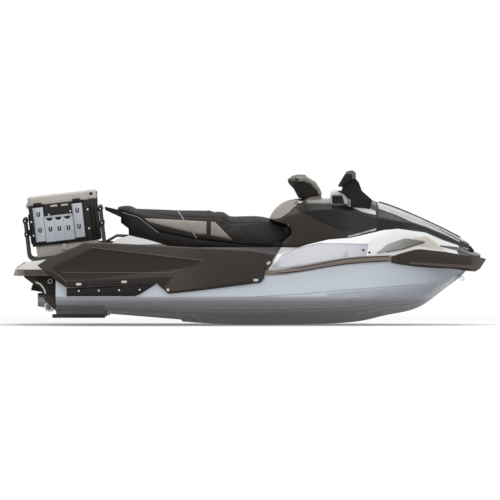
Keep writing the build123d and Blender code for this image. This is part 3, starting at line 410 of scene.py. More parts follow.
looks = {
    "hullGloss": finish("hullGloss", iceSilver, rough=0.22, spread=0.06, drift=0.02, bump=0.02, coat=0.5, paint=hullPaint),
    "deckWhite": finish("deckWhite", tone(214, 214, 224), rough=0.28, spread=0.03, drift=0.006, driftScale=1.5, bump=0.02, coat=0.4, paint=deckPaint),
    "platformShell": finish("platformShell", tone(222, 222, 230), rough=0.4, drift=0.03, bump=0.05, paint=platformPaint),
    "panelCharcoal": finish("panelCharcoal", tone(60, 53, 49), rough=0.5, drift=0.05, grain=900, bump=0.1, specular=0.2, paint=panelPaint),
    "bumperBrown": finish("bumperBrown", tone(54, 45, 41), rough=0.42, drift=0.05, grain=700, bump=0.08, specular=0.25, paint=bumperPaint),
    "cowlCharcoal": finish("cowlCharcoal", tone(47, 41, 36), rough=0.4, drift=0.03, bump=0.04, specular=0.25, coat=0.06, paint=cowlPaint),
    "coverShell": finish("coverShell", tone(20, 17, 15), specular=0.18, rough=0.5, drift=0.06, grain=800, bump=0.12, paint=coverPaint),
    "coverGloss": finish("coverGloss", tone(31, 28, 25), rough=0.4, drift=0.03, bump=0.03, specular=0.18, coat=0.03, paint=shoulderPaint),
    "blackMould": finish("blackMould", tone(20, 17, 15), specular=0.16, rough=0.5, drift=0.06, grain=800, bump=0.12),
    "hoodBlack": finish("hoodBlack", tone(18, 17, 17), rough=0.32, drift=0.03, bump=0.02, specular=0.25, coat=0.05),
    "silverPanel": finish("silverPanel", tone(176, 178, 180), rough=0.3, drift=0.02, bump=0.01, coat=0.12),
    "podSilver": finish("podSilver", tone(176, 178, 180), rough=0.26, drift=0.02, bump=0.02, coat=0.4, paint=podPaint),
    "hoodSilver": finish("hoodSilver", tone(168, 169, 169), rough=0.3, drift=0.02, bump=0.02, coat=0.3),
    "hullShade": finish("hullShade", tone(150, 156, 165), rough=0.3, drift=0.02, bump=0.02),
    "deckShade": finish("deckShade", tone(164, 164, 172), rough=0.35, drift=0.02, bump=0.02),
    "panelShade": finish("panelShade", tone(33, 28, 25), rough=0.55, drift=0.04, bump=0.05, specular=0.2),
    "panelEdge": finish("panelEdge", tone(92, 83, 77), rough=0.5, drift=0.04, bump=0.05),
    "strapGrey": finish("strapGrey", tone(150, 145, 140), rough=0.6, drift=0.08, driftScale=90, grain=500, bump=0.2),
    "finGrey": finish("finGrey", tone(146, 150, 144), rough=0.36, drift=0.03, bump=0.04, paint=finPaint),
    "railGrey": finish("railGrey", tone(112, 102, 95), rough=0.5, drift=0.04, bump=0.06),
    "seatVinyl": finish("seatVinyl", tone(46, 40, 38), rough=0.55, drift=0.05, grain=420, bump=0.3, specular=0.25, paint=seatPaint),
    "padSpeckle": finish("padSpeckle", tone(150, 143, 137), rough=0.7, drift=0.3, driftScale=260, grain=300, bump=0.3),
    "lampDark": finish("lampDark", tone(44, 38, 36), rough=0.12, drift=0.03, bump=0.02, coat=0.6),
    "latchWhite": finish("latchWhite", tone(188, 184, 178), rough=0.4, drift=0.03, grain=500, bump=0.06),
    "mirrorFace": finish("mirrorFace", tone(206, 210, 214), rough=0.05, spread=0.03, drift=0.01, bump=0.0, metal=1.0),
    "boltSilver": finish("boltSilver", tone(196, 194, 190), rough=0.35, drift=0.03, metal=0.8, bump=0.03),
    "rubberBlack": finish("rubberBlack", tone(30, 28, 27), rough=0.75, drift=0.06, grain=500, bump=0.3),
    "brushedSteel": finish("brushedSteel", tone(190, 190, 192), rough=0.3, drift=0.03, metal=1.0, grain=300, bump=0.03),
    "castAlloy": finish("castAlloy", tone(150, 150, 150), rough=0.5, drift=0.06, metal=0.7, grain=260, bump=0.2),
    "castDark": finish("castDark", tone(58, 55, 54), rough=0.55, drift=0.06, grain=260, bump=0.2, specular=0.2, paint=platePaint),
    "coolerShell": finish("coolerShell", tone(188, 182, 175), rough=0.55, drift=0.03, grain=350, bump=0.12),
    "tubeBlack": finish("tubeBlack", tone(32, 30, 29), rough=0.4, drift=0.04, bump=0.05),
    "caddySilver": finish("caddySilver", tone(168, 176, 190), rough=0.4, drift=0.04, bump=0.05, specular=0.2, paint=caddyPaint),
}
nodeLooks = {
    "hull": "hullGloss", "deck": "deckWhite", "rear_platform": "platformShell", "transom_shroud": "panelCharcoal",
    "bow_bumper": "bumperBrown", "bow_eye": "brushedSteel", "cowl": "cowlCharcoal", "hood": "hoodBlack",
    "hood_panel": "silverPanel", "hood_hinge": "hoodBlack", "storage_bin": "blackMould",
    "instrument_pod": "blackMould", "steering_cover": "coverShell", "handlebar": "brushedSteel", "grips": "rubberBlack",
    "seat_base": "blackMould", "seat_rear": "seatVinyl", "seat_front": "seatVinyl", "grab_handle": "blackMould", "deck_arch": "tubeBlack",
    "engine": "castAlloy", "pump_housing": "castAlloy", "impeller": "brushedSteel", "trim_ring": "castAlloy",
    "steering_nozzle": "castAlloy", "reverse_bucket": "blackMould", "ride_plate": "castDark",
    "intake_grate": "castAlloy", "cooler_body": "coolerShell", "cooler_lid": "coolerShell", "rack": "tubeBlack",
    "mats": "rubberBlack", "rub_rail": "railGrey", "side_panel": "panelCharcoal", "sponson": "blackMould",
    "cowl_side": "coverGloss", "fin": "finGrey", "speaker": "podSilver", "mirror": "blackMould", "caddy": "caddySilver",
}
print("finishes made:", len(looks))


# edges of the moulded pieces are eased a little, in metres
edgeEase = {"side_panel": 0.004, "bow_bumper": 0.006, "rear_platform": 0.012, "transom_shroud": 0.004, "sponson": 0.003,
            "steering_cover": 0.007, "mirror": 0.006, "speaker": 0.006, "instrument_pod": 0.004, "cowl": 0.006,
            "seat_base": 0.004, "hull": 0.004, "deck": 0.006, "caddy": 0.002, "storage_bin": 0.002, "fin": 0.003,
            "reverse_bucket": 0.002, "hood": 0.0025, "ride_plate": 0.003}


def dressNode(node, look, ease, angle=32.0):    # material, eased edges and smooth shading, the mesh itself stays as it is
    node.data.materials.clear()
    node.data.materials.append(look)
    for face in node.data.polygons:
        face.use_smooth = True
    weld = node.modifiers.new("weld", "WELD")
    weld.merge_threshold = 0.00002
    if ease:
        round_ = node.modifiers.new("ease", "BEVEL")
        round_.width = ease
        round_.segments = 2
        round_.limit_method = "ANGLE"
        round_.angle_limit = math.radians(38)
    crease = node.modifiers.new("crease", "EDGE_SPLIT")
    crease.split_angle = math.radians(angle)


for name, node in nodes.items():
    plain = name.replace("_left", "").replace("_right", "")
    dressNode(node, looks[nodeLooks[plain]], edgeEase.get(plain))
print("nodes dressed")


# new pieces
def settle(bm, name, look, body="craft", smooth=40.0, thick=0.0, ease=0.0):
    bmesh.ops.remove_doubles(bm, verts=bm.verts, dist=1e-6)
    if not thick:
        bmesh.ops.recalc_face_normals(bm, faces=bm.faces)
    mesh = bpy.data.meshes.new(name)
    bm.to_mesh(mesh)
    bm.free()
    piece = bpy.data.objects.new(name, mesh)
    bpy.context.scene.collection.objects.link(piece)
    mesh.materials.append(looks[look])
    for face in mesh.polygons:
        face.use_smooth = True
    if thick:
        wall = piece.modifiers.new("wall", "SOLIDIFY")
        wall.thickness = thick
        wall.offset = 1.0
    if ease:
        round_ = piece.modifiers.new("ease", "BEVEL")
        round_.width = ease
        round_.segments = 2
        round_.limit_method = "ANGLE"
        round_.angle_limit = math.radians(40)
    crease = piece.modifiers.new("crease", "EDGE_SPLIT")
    crease.split_angle = math.radians(smooth)
    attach(piece, body)
    return piece


def skinOf(*names):    # one search tree over some CAD nodes, to lay pieces on them
    bm = bmesh.new()
    for name in names:
        bm.from_mesh(nodes[name].data)
    tree = BVHTree.FromBMesh(bm)
    bm.free()
    return tree


def touchSide(skin, x, z, side):    # point and outward normal met by a ray coming in across the boat, mm in
    spot, normal, _, _ = skin.ray_cast(Vector((x / 1000, side * 2.0, z / 1000)), Vector((0, -side, 0)))
    if spot is None:
        spot, normal, _, _ = skin.find_nearest(Vector((x / 1000, side * 0.5, z / 1000)))
    if normal.y * side < 0:
        normal = -normal
    return spot, normal


def alongLine(line, share):    # point on a side-view polyline at a share of its length
    sizes = [math.hypot(b[0] - a[0], b[1] - a[1]) for a, b in zip(line, line[1:])]
    left = share * sum(sizes)
    for (a, b), size in zip(zip(line, line[1:]), sizes):
        if left <= size or b is line[-1]:
            t = min(1.0, left / size) if size else 0.0
            return a[0] + (b[0] - a[0]) * t, a[1] + (b[1] - a[1]) * t
        left -= size


def layPatch(name, look, upper, lower, skin, thick=0.003, cells=(24, 4), body="craft", lift=0.0004):    # a moulded strip laid on both sides
    for side, word in ((-1, "right"), (1, "left")):
        bm = bmesh.new()
        bmesh.ops.create_grid(bm, x_segments=cells[0], y_segments=cells[1], size=0.5)
        for vert in bm.verts:
            u, v = vert.co.x + 0.5, vert.co.y + 0.5
            top, low = alongLine(upper, u), alongLine(lower, u)
            x, z = low[0] + (top[0] - low[0]) * v, low[1] + (top[1] - low[1]) * v
            spot, normal = touchSide(skin, x, z, side)
            vert.co = spot + normal * lift
        for face in bm.faces:
            face.normal_update()
        if sum(face.normal.y for face in bm.faces) * side < 0:
            bmesh.ops.reverse_faces(bm, faces=bm.faces)
        settle(bm, f"{name}_{word}", look, body, thick=thick)


def addDome(bm, spot, normal, radius, height):    # a low round head
    turn = normal.to_track_quat("Z", "Y").to_matrix().to_4x4()
    made = bmesh.ops.create_cone(bm, cap_ends=True, segments=20, radius1=radius, radius2=radius * 0.8, depth=height)
    top = [e for e in {e for v in made["verts"] for e in v.link_edges} if all(v.co.z > 0 for v in e.verts)]
    bmesh.ops.transform(bm, matrix=Matrix.Translation(spot + normal * (height * 0.35)) @ turn, verts=made["verts"])
    bmesh.ops.bevel(bm, geom=top, offset=height * 0.35, segments=2, profile=0.5, affect="EDGES", material=-1)


screwSets = {    # heads on the sides: x and z in mm, what they sit in
    "panelBolts": dict(look="boltSilver", radius=0.011, height=0.007, skin=("side_panel_left", "side_panel_right"),
                       at=[(-622, -30)]),
    "sponsonScrews": dict(look="boltSilver", radius=0.008, height=0.005, skin=("sponson_left", "sponson_right"),
                          at=[(-1295, -38), (-1144, -36), (-991, -33), (-836, -30)]),
    "deckPlugs": dict(look="blackMould", radius=0.010, height=0.005, skin=("deck",), at=[(851, 268), (897, 250)]),
    "bumperBolts": dict(look="blackMould", radius=0.008, height=0.004, skin=("bow_bumper",), at=[(1116, 210)]),
}


def buildScrews():
    for name, plan in screwSets.items():
        skin = skinOf(*plan["skin"])
        bm = bmesh.new()
        for side in (-1, 1):
            for x, z in plan["at"]:
                spot, normal = touchSide(skin, x, z, side)
                addDome(bm, spot, normal, plan["radius"], plan["height"])
        settle(bm, name, plan["look"], smooth=30)


patches = {    # strips laid on the shell: upper and lower edge from aft to fore, mm
    "cowlWedge": dict(look="silverPanel", skin=("cowl", "cowl_side_left", "cowl_side_right"), cells=(30, 4),
                      upper=[(712, 620), (760, 626), (860, 596), (945, 556)], lower=[(712, 611), (760, 588), (860, 548), (945, 530)]),
    "cowlStrip": dict(look="silverPanel", skin=("cowl", "deck", "cowl_side_left", "cowl_side_right"), cells=(24, 3),
                      upper=[(736, 372), (822, 395), (906, 418), (948, 430)], lower=[(736, 362), (822, 384), (906, 406), (948, 417)]),
    "bowLamp": dict(look="lampDark", skin=("deck",), cells=(30, 3), upper=[(1434, 300), (1560, 284), (1700, 226)],
                    lower=[(1434, 292), (1560, 262), (1700, 214)]),
    "cowlLatch": dict(look="rubberBlack", skin=("cowl",), cells=(14, 6), upper=[(329, 614), (352, 632), (380, 636), (409, 628)],
                      lower=[(329, 612), (352, 608), (384, 612), (409, 626)]),
    "cowlPull": dict(look="latchWhite", skin=("cowl",), cells=(10, 4), lift=0.003, upper=[(352, 622), (374, 630), (396, 627)],
                     lower=[(352, 617), (374, 614), (396, 623)]),
    # a pale strip along the seat base's top edge: painted highlight
    "seatBaseEdge": dict(look="strapGrey", skin=("seat_base",), cells=(30, 2), upper=[(-972, 552), (-850, 517), (-694, 398)],
                         lower=[(-972, 547), (-852, 512), (-698, 394)]),
    "hoodFlank": dict(look="hoodSilver", skin=("hood", "hood_panel"), cells=(48, 8), body="hood",
                      upper=[(966, 606), (1108, 562), (1253, 500), (1398, 431), (1543, 352), (1582, 330)],
                      lower=[(966, 577), (1108, 525), (1203, 480), (1326, 438), (1471, 376), (1582, 320)]),
    "bowWedge": dict(look="finGrey", skin=("deck", "bow_bumper"), cells=(26, 3), upper=[(1024, 254), (1160, 296), (1306, 326)],
                     lower=[(1024, 246), (1160, 272), (1306, 318)]),
}


def buildPatches():
    for name, plan in patches.items():
        layPatch(name, plan["look"], plan["upper"], plan["lower"], skinOf(*plan["skin"]), cells=plan["cells"], body=plan.get("body", "craft"),
                 lift=plan.get("lift", 0.0004))


seams = {    # fine raised lines and folds: width and line from aft to fore, mm
    # the rim and fold lines are pale strips: painted highlight along the panel's edges
    "panelRimLine": dict(look="panelEdge", skin=("side_panel_left", "side_panel_right"), width=5,
                         line=[(-1392, 34), (-1508, 134), (-1196, 290), (-345, 190), (-590, 100)]),
    "panelFoldLine": dict(look="panelEdge", skin=("side_panel_left", "side_panel_right"), width=4, line=[(-1420, 102), (-590, 100)]),
    # a darker strip along the hull's crease: painted shade
    "hullFold": dict(look="hullShade", skin=("hull",), width=5, line=[(-4, -86), (419, -60), (769, -30), (1082, -6), (1420, 12)]),
    # a darker strip along the deck's fold: painted shade
    "deckFold": dict(look="deckShade", skin=("deck",), width=5, line=[(237, 236), (358, 284), (515, 318), (700, 316), (888, 312)]),
    "shroudStay": dict(look="boltSilver", skin=("transom_shroud",), width=9, line=[(-1622, 24), (-1588, 8), (-1562, -24), (-1549, -62)]),
    "railEdge": dict(look="blackMould", skin=("rub_rail_left", "rub_rail_right"), width=5,
                     line=[(200, 120), (375, 138), (540, 167), (705, 199), (900, 215), (1040, 220)]),
    "railFoot": dict(look="blackMould", skin=("rub_rail_left", "rub_rail_right"), width=5,
                     line=[(200, 95), (375, 110), (540, 138), (705, 165), (900, 181), (1040, 188)]),
    # a dark band along the panel's lower front edge: painted shade
    "panelFoot": dict(look="panelShade", skin=("side_panel_left", "side_panel_right"), width=18, line=[(-604, -50), (-382, -25), (60, 33)]),
    "panelJoint": dict(look="blackMould", skin=("side_panel_left", "side_panel_right"), width=3, line=[(-367, 278), (-299, 196)]),
    "cowlSeam": dict(look="blackMould", skin=("cowl", "cowl_side_left", "cowl_side_right"), width=4,
                     line=[(286, 616), (420, 552), (540, 489), (640, 432), (724, 392)]),
}


def laySeam(name, look, line, width, skin):
    upper, lower = [], []
    for place, (x, z) in enumerate(line):
        (x0, z0), (x1, z1) = line[max(place - 1, 0)], line[min(place + 1, len(line) - 1)]
        size = math.hypot(x1 - x0, z1 - z0)
        dx, dz = -(z1 - z0) / size * width / 2, (x1 - x0) / size * width / 2
        upper.append((x + dx, z + dz))
        lower.append((x - dx, z - dz))
    layPatch(name, look, upper, lower, skin, thick=0.0012, cells=(90, 2))


def buildSeams():
    for name, plan in seams.items():
        laySeam(name, plan["look"], plan["line"], plan["width"], skinOf(*plan["skin"]))


buildScrews()
buildPatches()
buildSeams()
print("screws and strips laid")

# small blocks, bars and rings
def addSlab(bm, place, size, ease, turn=None, taper=1.0):    # a block with rounded edges, its outer end a little smaller
    verts = bmesh.ops.create_cube(bm, size=1.0)["verts"]
    for vert in verts:
        share = taper if vert.co.z > 0 else 1.0
        vert.co = Vector((vert.co.x * size[0] * share, vert.co.y * size[1] * share, vert.co.z * size[2]))
    edges = list({edge for vert in verts for edge in vert.link_edges})
    made = bmesh.ops.bevel(bm, geom=edges, offset=ease, segments=2, profile=0.5, affect="EDGES", material=-1)
    bmesh.ops.transform(bm, matrix=Matrix.Translation(place) @ (turn or Matrix.Identity(4)), verts=made["verts"])


def addRod(bm, path, radius, segments=10, closed=False):    # a round bar through some points
    rings = []
    last = len(path) - 1
    for place, here in enumerate(path):
        before = path[place - 1] if closed else path[max(place - 1, 0)]
        after = path[(place + 1) % len(path)] if closed else path[min(place + 1, last)]
        turn = (after - before).to_track_quat("Z", "Y").to_matrix().to_4x4()
        verts = bmesh.ops.create_circle(bm, cap_ends=False, segments=segments, radius=radius)["verts"]
        rings.append(list({edge for vert in verts for edge in vert.link_edges}))
        bmesh.ops.transform(bm, matrix=Matrix.Translation(here) @ turn, verts=verts)
    if closed:
        pairs = list(zip(rings, rings[1:] + rings[:1]))
    else:
        pairs = list(zip(rings, rings[1:]))
        for end in (rings[0], rings[-1]):
            bmesh.ops.holes_fill(bm, edges=end, sides=0)
    for near, far in pairs:
        bmesh.ops.bridge_loops(bm, edges=near + far)


def addRing(bm, centre, normal, radius, thick, steps=24):
    turn = normal.to_track_quat("Z", "Y").to_matrix()
    path = [centre + turn @ Vector((math.cos(a) * radius, math.sin(a) * radius, 0))
            for a in (2 * math.pi * step / steps for step in range(steps))]
    addRod(bm, path, thick, closed=True)


def faceTurn(normal, along):    # turn that puts z on the normal and x along a direction
    z = normal.normalized()
    x = (along - z * along.dot(z)).normalized()
    return Matrix((x, z.cross(x), z)).transposed().to_4x4()


def layTop(name, look, corners, skin, thick, cells, body="craft"):    # a pad laid from above, corners in mm
    bm = bmesh.new()
    bmesh.ops.create_grid(bm, x_segments=cells[0], y_segments=cells[1], size=0.5)
    for vert in bm.verts:
        u, v = vert.co.x + 0.5, vert.co.y + 0.5
        low = Vector(corners[0]).lerp(Vector(corners[1]), u)
        high = Vector(corners[3]).lerp(Vector(corners[2]), u)
        flat = low.lerp(high, v)
        spot, normal, _, _ = skin.ray_cast(Vector((flat.x / 1000, flat.y / 1000, 2.0)), Vector((0, 0, -1)))
        if spot is None:
            spot, normal, _, _ = skin.find_nearest(Vector((flat.x / 1000, flat.y / 1000, vert.co.z)))
        vert.co = spot + normal * 0.0004
    for face in bm.faces:
        face.normal_update()
    if sum(face.normal.z for face in bm.faces) < 0:
        bmesh.ops.reverse_faces(bm, faces=bm.faces)
    return settle(bm, name, look, body, thick=thick)


# fittings of the cooler, in its own tilted frame
coolerPlan = dict(origin=(-1.380, 0.0, 0.2134), slope=math.radians(6.604), plateY=306, tubeY=372, pocketY=362,
                  hooks=[(-184, 346, 372), (-184, 225, 372), (112, 343, 372), (112, 222, 372), (-105, 224, 362), (-37, 223, 362), (31, 221, 362)],
                  toggles=[(-61, 396), (20, 394)], nubs=[(-107, 332), (59, 341)], clips=[(-184, 414), (112, 414)],
                  plateBolts=[(190, 340), (184, 196), (-243, 293), (-237, 189)], rails=[(212, 262, 270), (238, 250, 246), (-256, 240, 230)],
                  clamps=[(285, 334), (285, 226), (-290, 306), (-290, 204)])
coolerFrame = Matrix.Translation(coolerPlan["origin"]) @ Matrix.Rotation(-coolerPlan["slope"], 4, "Y")


def onCooler(x, y, z):
    return coolerFrame @ Vector((x / 1000, y / 1000, z / 1000))


def buildCoolerFittings():
    lean = coolerFrame.to_3x3()
    ahead, up = lean @ Vector((1, 0, 0)), lean @ Vector((0, 0, 1))
    hooks, toggles, bolts, clips = bmesh.new(), bmesh.new(), bmesh.new(), bmesh.new()
    rims = bmesh.new()
    for side in (-1, 1):
        out = Vector((0, side, 0))
        flat = faceTurn(out, ahead)
        for x, z, y in coolerPlan["hooks"]:
            bend = [(-9, 17), (-9, -7), (-6, -12), (0, -14), (6, -12), (9, -7), (9, 17)]
            addRod(hooks, [onCooler(x + dx, side * (y + 1.5), z + dz) for dx, dz in bend], 0.0045, 8)
        addSlab(rims, onCooler(-37, side * 358, 317), (0.214, 0.016, 0.008), 0.003, flat, 0.98)    # bar over the pocket mouths
        for x, z in coolerPlan["toggles"]:
            addSlab(toggles, onCooler(x, side * (coolerPlan["plateY"] + 5), z), (0.058, 0.016, 0.012), 0.004, flat, 0.85)
        for x, z in coolerPlan["nubs"] + coolerPlan["plateBolts"]:
            addDome(bolts, onCooler(x, side * coolerPlan["plateY"], z), out, 0.009, 0.007)
        for x, z in coolerPlan["clips"]:
            addSlab(clips, onCooler(x, side * 308, z), (0.062, 0.036, 0.014), 0.004, flat, 0.9)
            addSlab(clips, onCooler(x + 40, side * 308, z - 2), (0.03, 0.014, 0.012), 0.003, flat, 0.9)
        for x, z, tall in coolerPlan["rails"]:
            addSlab(clips, onCooler(x, side * 309, z), (0.016, tall / 1000, 0.014), 0.005, flat, 0.8)
        for x, z in coolerPlan["clamps"]:
            addSlab(clips, onCooler(x, side * 319, z), (0.036, 0.034, 0.036), 0.006, flat, 0.9)
            addDome(bolts, onCooler(x, side * 337, z), out, 0.006, 0.004)
        addSlab(toggles, onCooler(-20, side * 291, 82), (0.036, 0.058, 0.016), 0.005, flat, 0.85)    # strap buckle under the pockets
        addSlab(clips, onCooler(-20, side * 300, 116), (0.03, 0.02, 0.012), 0.003, flat, 0.9)
    settle(rims, "caddyRims", "hoodSilver", smooth=30)
    settle(hooks, "caddyHooks", "blackMould", smooth=50)
    settle(toggles, "caddyToggles", "latchWhite", smooth=30)
    settle(bolts, "caddyBolts", "boltSilver", smooth=30)
    settle(clips, "caddyClips", "blackMould", smooth=30)
    guards, insets, catches = bmesh.new(), bmesh.new(), bmesh.new()
    for side in (-1, 1):
        out = Vector((0, side, 0))
        addSlab(guards, onCooler(230, side * 292, 448), (0.058, 0.068, 0.014), 0.006, faceTurn(out, ahead), 0.88)
        addSlab(guards, onCooler(257, side * 250, 448), (0.068, 0.068, 0.014), 0.006, faceTurn(ahead, out), 0.88)
        addSlab(insets, onCooler(228, side * 299, 456), (0.026, 0.022, 0.004), 0.0015, faceTurn(out, ahead), 0.9)
        addSlab(catches, onCooler(264, side * 120, 424), (0.034, 0.082, 0.012), 0.004, faceTurn(ahead, out), 0.85)    # pull-down latch
        addSlab(catches, onCooler(266, side * 120, 458), (0.052, 0.016, 0.016), 0.004, faceTurn(ahead, out), 0.85)
    settle(guards, "lidGuards", "latchWhite", body="lid", smooth=30)
    settle(insets, "lidInsets", "blackMould", body="lid", smooth=30)
    settle(catches, "lidCatches", "rubberBlack", smooth=30)


# steering: controls on the bar and a soft pad over the cover
barPlan = dict(root=(392, 85, 782), end=(300, 405, 785), flangeAt=188, blockAt=158, lever=[(164, 22), (172, 44), (205, 52), (262, 46), (318, 40), (328, 36)])


def buildControls():
    blocks, rings, levers, ends = bmesh.new(), bmesh.new(), bmesh.new(), bmesh.new()
    for side in (-1, 1):
        root, end = (Vector((p[0], p[1] * side, p[2])) / 1000 for p in (barPlan["root"], barPlan["end"]))
        along = (end - root).normalized()
        fore = Vector((-along.y * side, along.x * side, 0)) * -side
        if fore.x < 0:
            fore = -fore
        up = Vector((0, 0, 1))
        addSlab(blocks, root + along * barPlan["blockAt"] / 1000 + up * 0.002, (0.046, 0.044, 0.04), 0.009, faceTurn(up, along), 0.86)
        addSlab(blocks, root + along * barPlan["blockAt"] / 1000 + up * 0.024 - fore * 0.006, (0.014, 0.018, 0.008), 0.003, faceTurn(up, along), 0.8)
        addRing(rings, root + along * barPlan["flangeAt"] / 1000, along, 0.022, 0.0045)
        addRod(levers, [root + along * s / 1000 + fore * d / 1000 for s, d in barPlan["lever"]], 0.0058, 10)
        addDome(ends, end, along, 0.0185, 0.009)
    settle(blocks, "switchBlocks", "blackMould", body="steering", smooth=30)
    settle(rings, "gripFlanges", "rubberBlack", body="steering", smooth=50)
    settle(levers, "barLevers", "blackMould", body="steering", smooth=50)
    settle(ends, "barEnds", "rubberBlack", body="steering", smooth=30)
    seal = bmesh.new()    # lip between the column boss and the turning cover
    addRing(seal, Vector((0.4575, 0, 0.6673)), Vector((-0.17365, 0, 0.98481)), 0.074, 0.0028, 40)
    settle(seal, "columnSeal", "rubberBlack", smooth=50)
    base = bmesh.new()    # closes the seat base on the cowl
    addSlab(base, Vector((0.212, 0, 0.296)), (0.1, 0.3, 0.062), 0.008)
    addSlab(base, Vector((0.285, 0, 0.405)), (0.07, 0.24, 0.08), 0.01)
    addSlab(base, Vector((-0.304, 0, 0.352)), (0.05, 0.3, 0.05), 0.006)
    settle(base, "baseToe", "blackMould", smooth=30)
    layTop("coverPad", "padSpeckle", [(306, -56), (420, -46), (420, 46), (306, 56)], skinOf("steering_cover"), 0.004, (14, 10), body="steering")


# mirrors, speakers and instruments
def buildDash():
    glass, grilles, cones = bmesh.new(), bmesh.new(), bmesh.new()
    aft = Vector((-0.853, 0, 0.522))
    for side in (-1, 1):
        addSlab(glass, Vector((0.696, side * 0.35, 0.7995)) - aft * 0.0025, (0.154, 0.073, 0.003), 0.001, faceTurn(aft, Vector((0, 1, 0))))
        out = Vector((0, side, 0))
        for row in range(6):
            z = 0.6235 + row * 0.0095
            addSlab(grilles, Vector((0.656, side * 0.281, z)), (0.083, 0.0052, 0.006), 0.0015, faceTurn(out, Vector((1, 0, 0))), 0.8)
        addRing(cones, Vector((0.656, side * 0.28, 0.647)), out, 0.022, 0.003)
    settle(glass, "mirrorGlass", "mirrorFace", smooth=30)
    settle(grilles, "speakerBars", "blackMould", smooth=30)
    settle(cones, "speakerRings", "rubberBlack", smooth=50)
    layPatch("speakerCloth", "rubberBlack", [(616, 684), (690, 684)], [(616, 614), (714, 614)],
             skinOf("speaker_left", "speaker_right"), thick=0.0015, cells=(6, 4))
    bezel, screen, keys = bmesh.new(), bmesh.new(), bmesh.new()
    rise = Vector((-0.439, 0, 0.898))
    centre = Vector((0.645, 0, 0.690))
    turn = faceTurn(rise, Vector((0, 1, 0)))
    addSlab(bezel, centre + rise * 0.003, (0.19, 0.088, 0.012), 0.005, turn, 0.94)
    addSlab(screen, centre + rise * 0.0095, (0.156, 0.064, 0.004), 0.0015, turn, 0.97)
    for place in (-0.084, 0.084):
        addSlab(keys, centre + Vector((0, place, 0)) + rise * 0.0095, (0.009, 0.04, 0.005), 0.002, turn, 0.85)
    settle(bezel, "dashBezel", "blackMould", smooth=30)
    settle(screen, "dashScreen", "lampDark", smooth=30)
    settle(keys, "dashKeys", "rubberBlack", smooth=30)


# wide clips of the side panels, and stern fittings
clipPlan = [(-1296, 12, 0.046, 0.022), (-954, 30, 0.046, 0.022), (40, 43, 0.042, 0.022), (136, 172, 0.038, 0.024)]


def buildClips():
    skin = skinOf("side_panel_left", "side_panel_right")
    clips, heads = bmesh.new(), bmesh.new()
    for side in (-1, 1):
        for x, z, wide, tall in clipPlan:
            spot, normal = touchSide(skin, x, z, side)
            turn = faceTurn(normal, Vector((1, 0, 0.03)))
            addSlab(clips, spot + normal * 0.002, (wide, tall, 0.01), 0.0045, turn, 0.8)
            addDome(heads, spot + normal * 0.007, normal, 0.0065, 0.003)
    settle(clips, "panelClips", "latchWhite", smooth=30)
    settle(heads, "clipHeads", "boltSilver", smooth=30)


def buildStern():
    eyes, plugs, rings = bmesh.new(), bmesh.new(), bmesh.new()
    hull = skinOf("hull")
    shroud = skinOf("transom_shroud")
    for side in (-1, 1):
        out = Vector((0, side, 0))
        addSlab(eyes, Vector((-1.496, side * 0.25, -0.158)), (0.02, 0.07, 0.046), 0.004, faceTurn(out, Vector((1, 0, 0))), 0.9)
        bend = [(-1494, -136), (-1530, -133), (-1548, -146), (-1552, -165), (-1543, -184), (-1522, -192), (-1494, -190)]
        addRod(eyes, [Vector((x / 1000, side * 0.25, z / 1000)) for x, z in bend], 0.008, 12)    # tie-down eye
        spot, normal, _, _ = hull.ray_cast(Vector((-2.5, side * 0.36, -0.1)), Vector((1, 0, 0)))
        addDome(plugs, spot, normal if normal.x < 0 else -normal, 0.02, 0.012)
        spot, normal = touchSide(shroud, -1514, 30, side)
        addRing(rings, spot + normal * 0.002, normal, 0.015, 0.0035)
    settle(eyes, "sternEyes", "boltSilver", smooth=50)
    settle(plugs, "drainPlugs", "blackMould", smooth=30)
    settle(rings, "shroudRings", "boltSilver", smooth=50)
    # a pale strip along the bucket's upper curved edge: painted highlight
    layPatch("bucketEdge", "latchWhite", [(-1623, 32), (-1600, 2), (-1578, -26), (-1552, -48)], [(-1628, 24), (-1607, -6), (-1584, -34), (-1556, -55)],
             skinOf("reverse_bucket"), thick=0.002, cells=(16, 2), body="bucket")


# ribs of the foot mats, pads on the stern platform
def buildMats():
    skin = skinOf("mats")
    box = [nodes["mats"].matrix_world @ Vector(c) for c in nodes["mats"].bound_box]
    back, front = min(c.x for c in box), max(c.x for c in box)
    wide = max(c.y for c in box)
    ribs = bmesh.new()
    y = wide - 0.014
    while y > 0.05:
        for side in (-1, 1):
            spot, normal, _, _ = skin.ray_cast(Vector(((back + front) / 2, side * y, 1.0)), Vector((0, 0, -1)))
            if spot is not None:
                addSlab(ribs, spot + Vector((0, 0, 0.001)), (front - back - 0.03, 0.009, 0.003), 0.0012)
        y -= 0.02
    settle(ribs, "matRibs", "rubberBlack", smooth=30)
    skin = skinOf("rear_platform")
    for side, word in ((-1, "right"), (1, "left")):
        layTop(f"sternPad_{word}", "padSpeckle", [(-1610, side * 396), (-1190, side * 396), (-1190, side * 452), (-1570, side * 452)], skin, 0.004, (30, 5))
    layTop("sternStep", "padSpeckle", [(-1764, -280), (-1704, -280), (-1704, 280), (-1764, 280)], skin, 0.004, (6, 30))


# gasket on the cowl's front edge, behind the gap to the hood
sealPlan = dict(back=0.940, front=0.9592, axisZ=0.42, reach=96.0, sunk=0.008, thick=0.004)


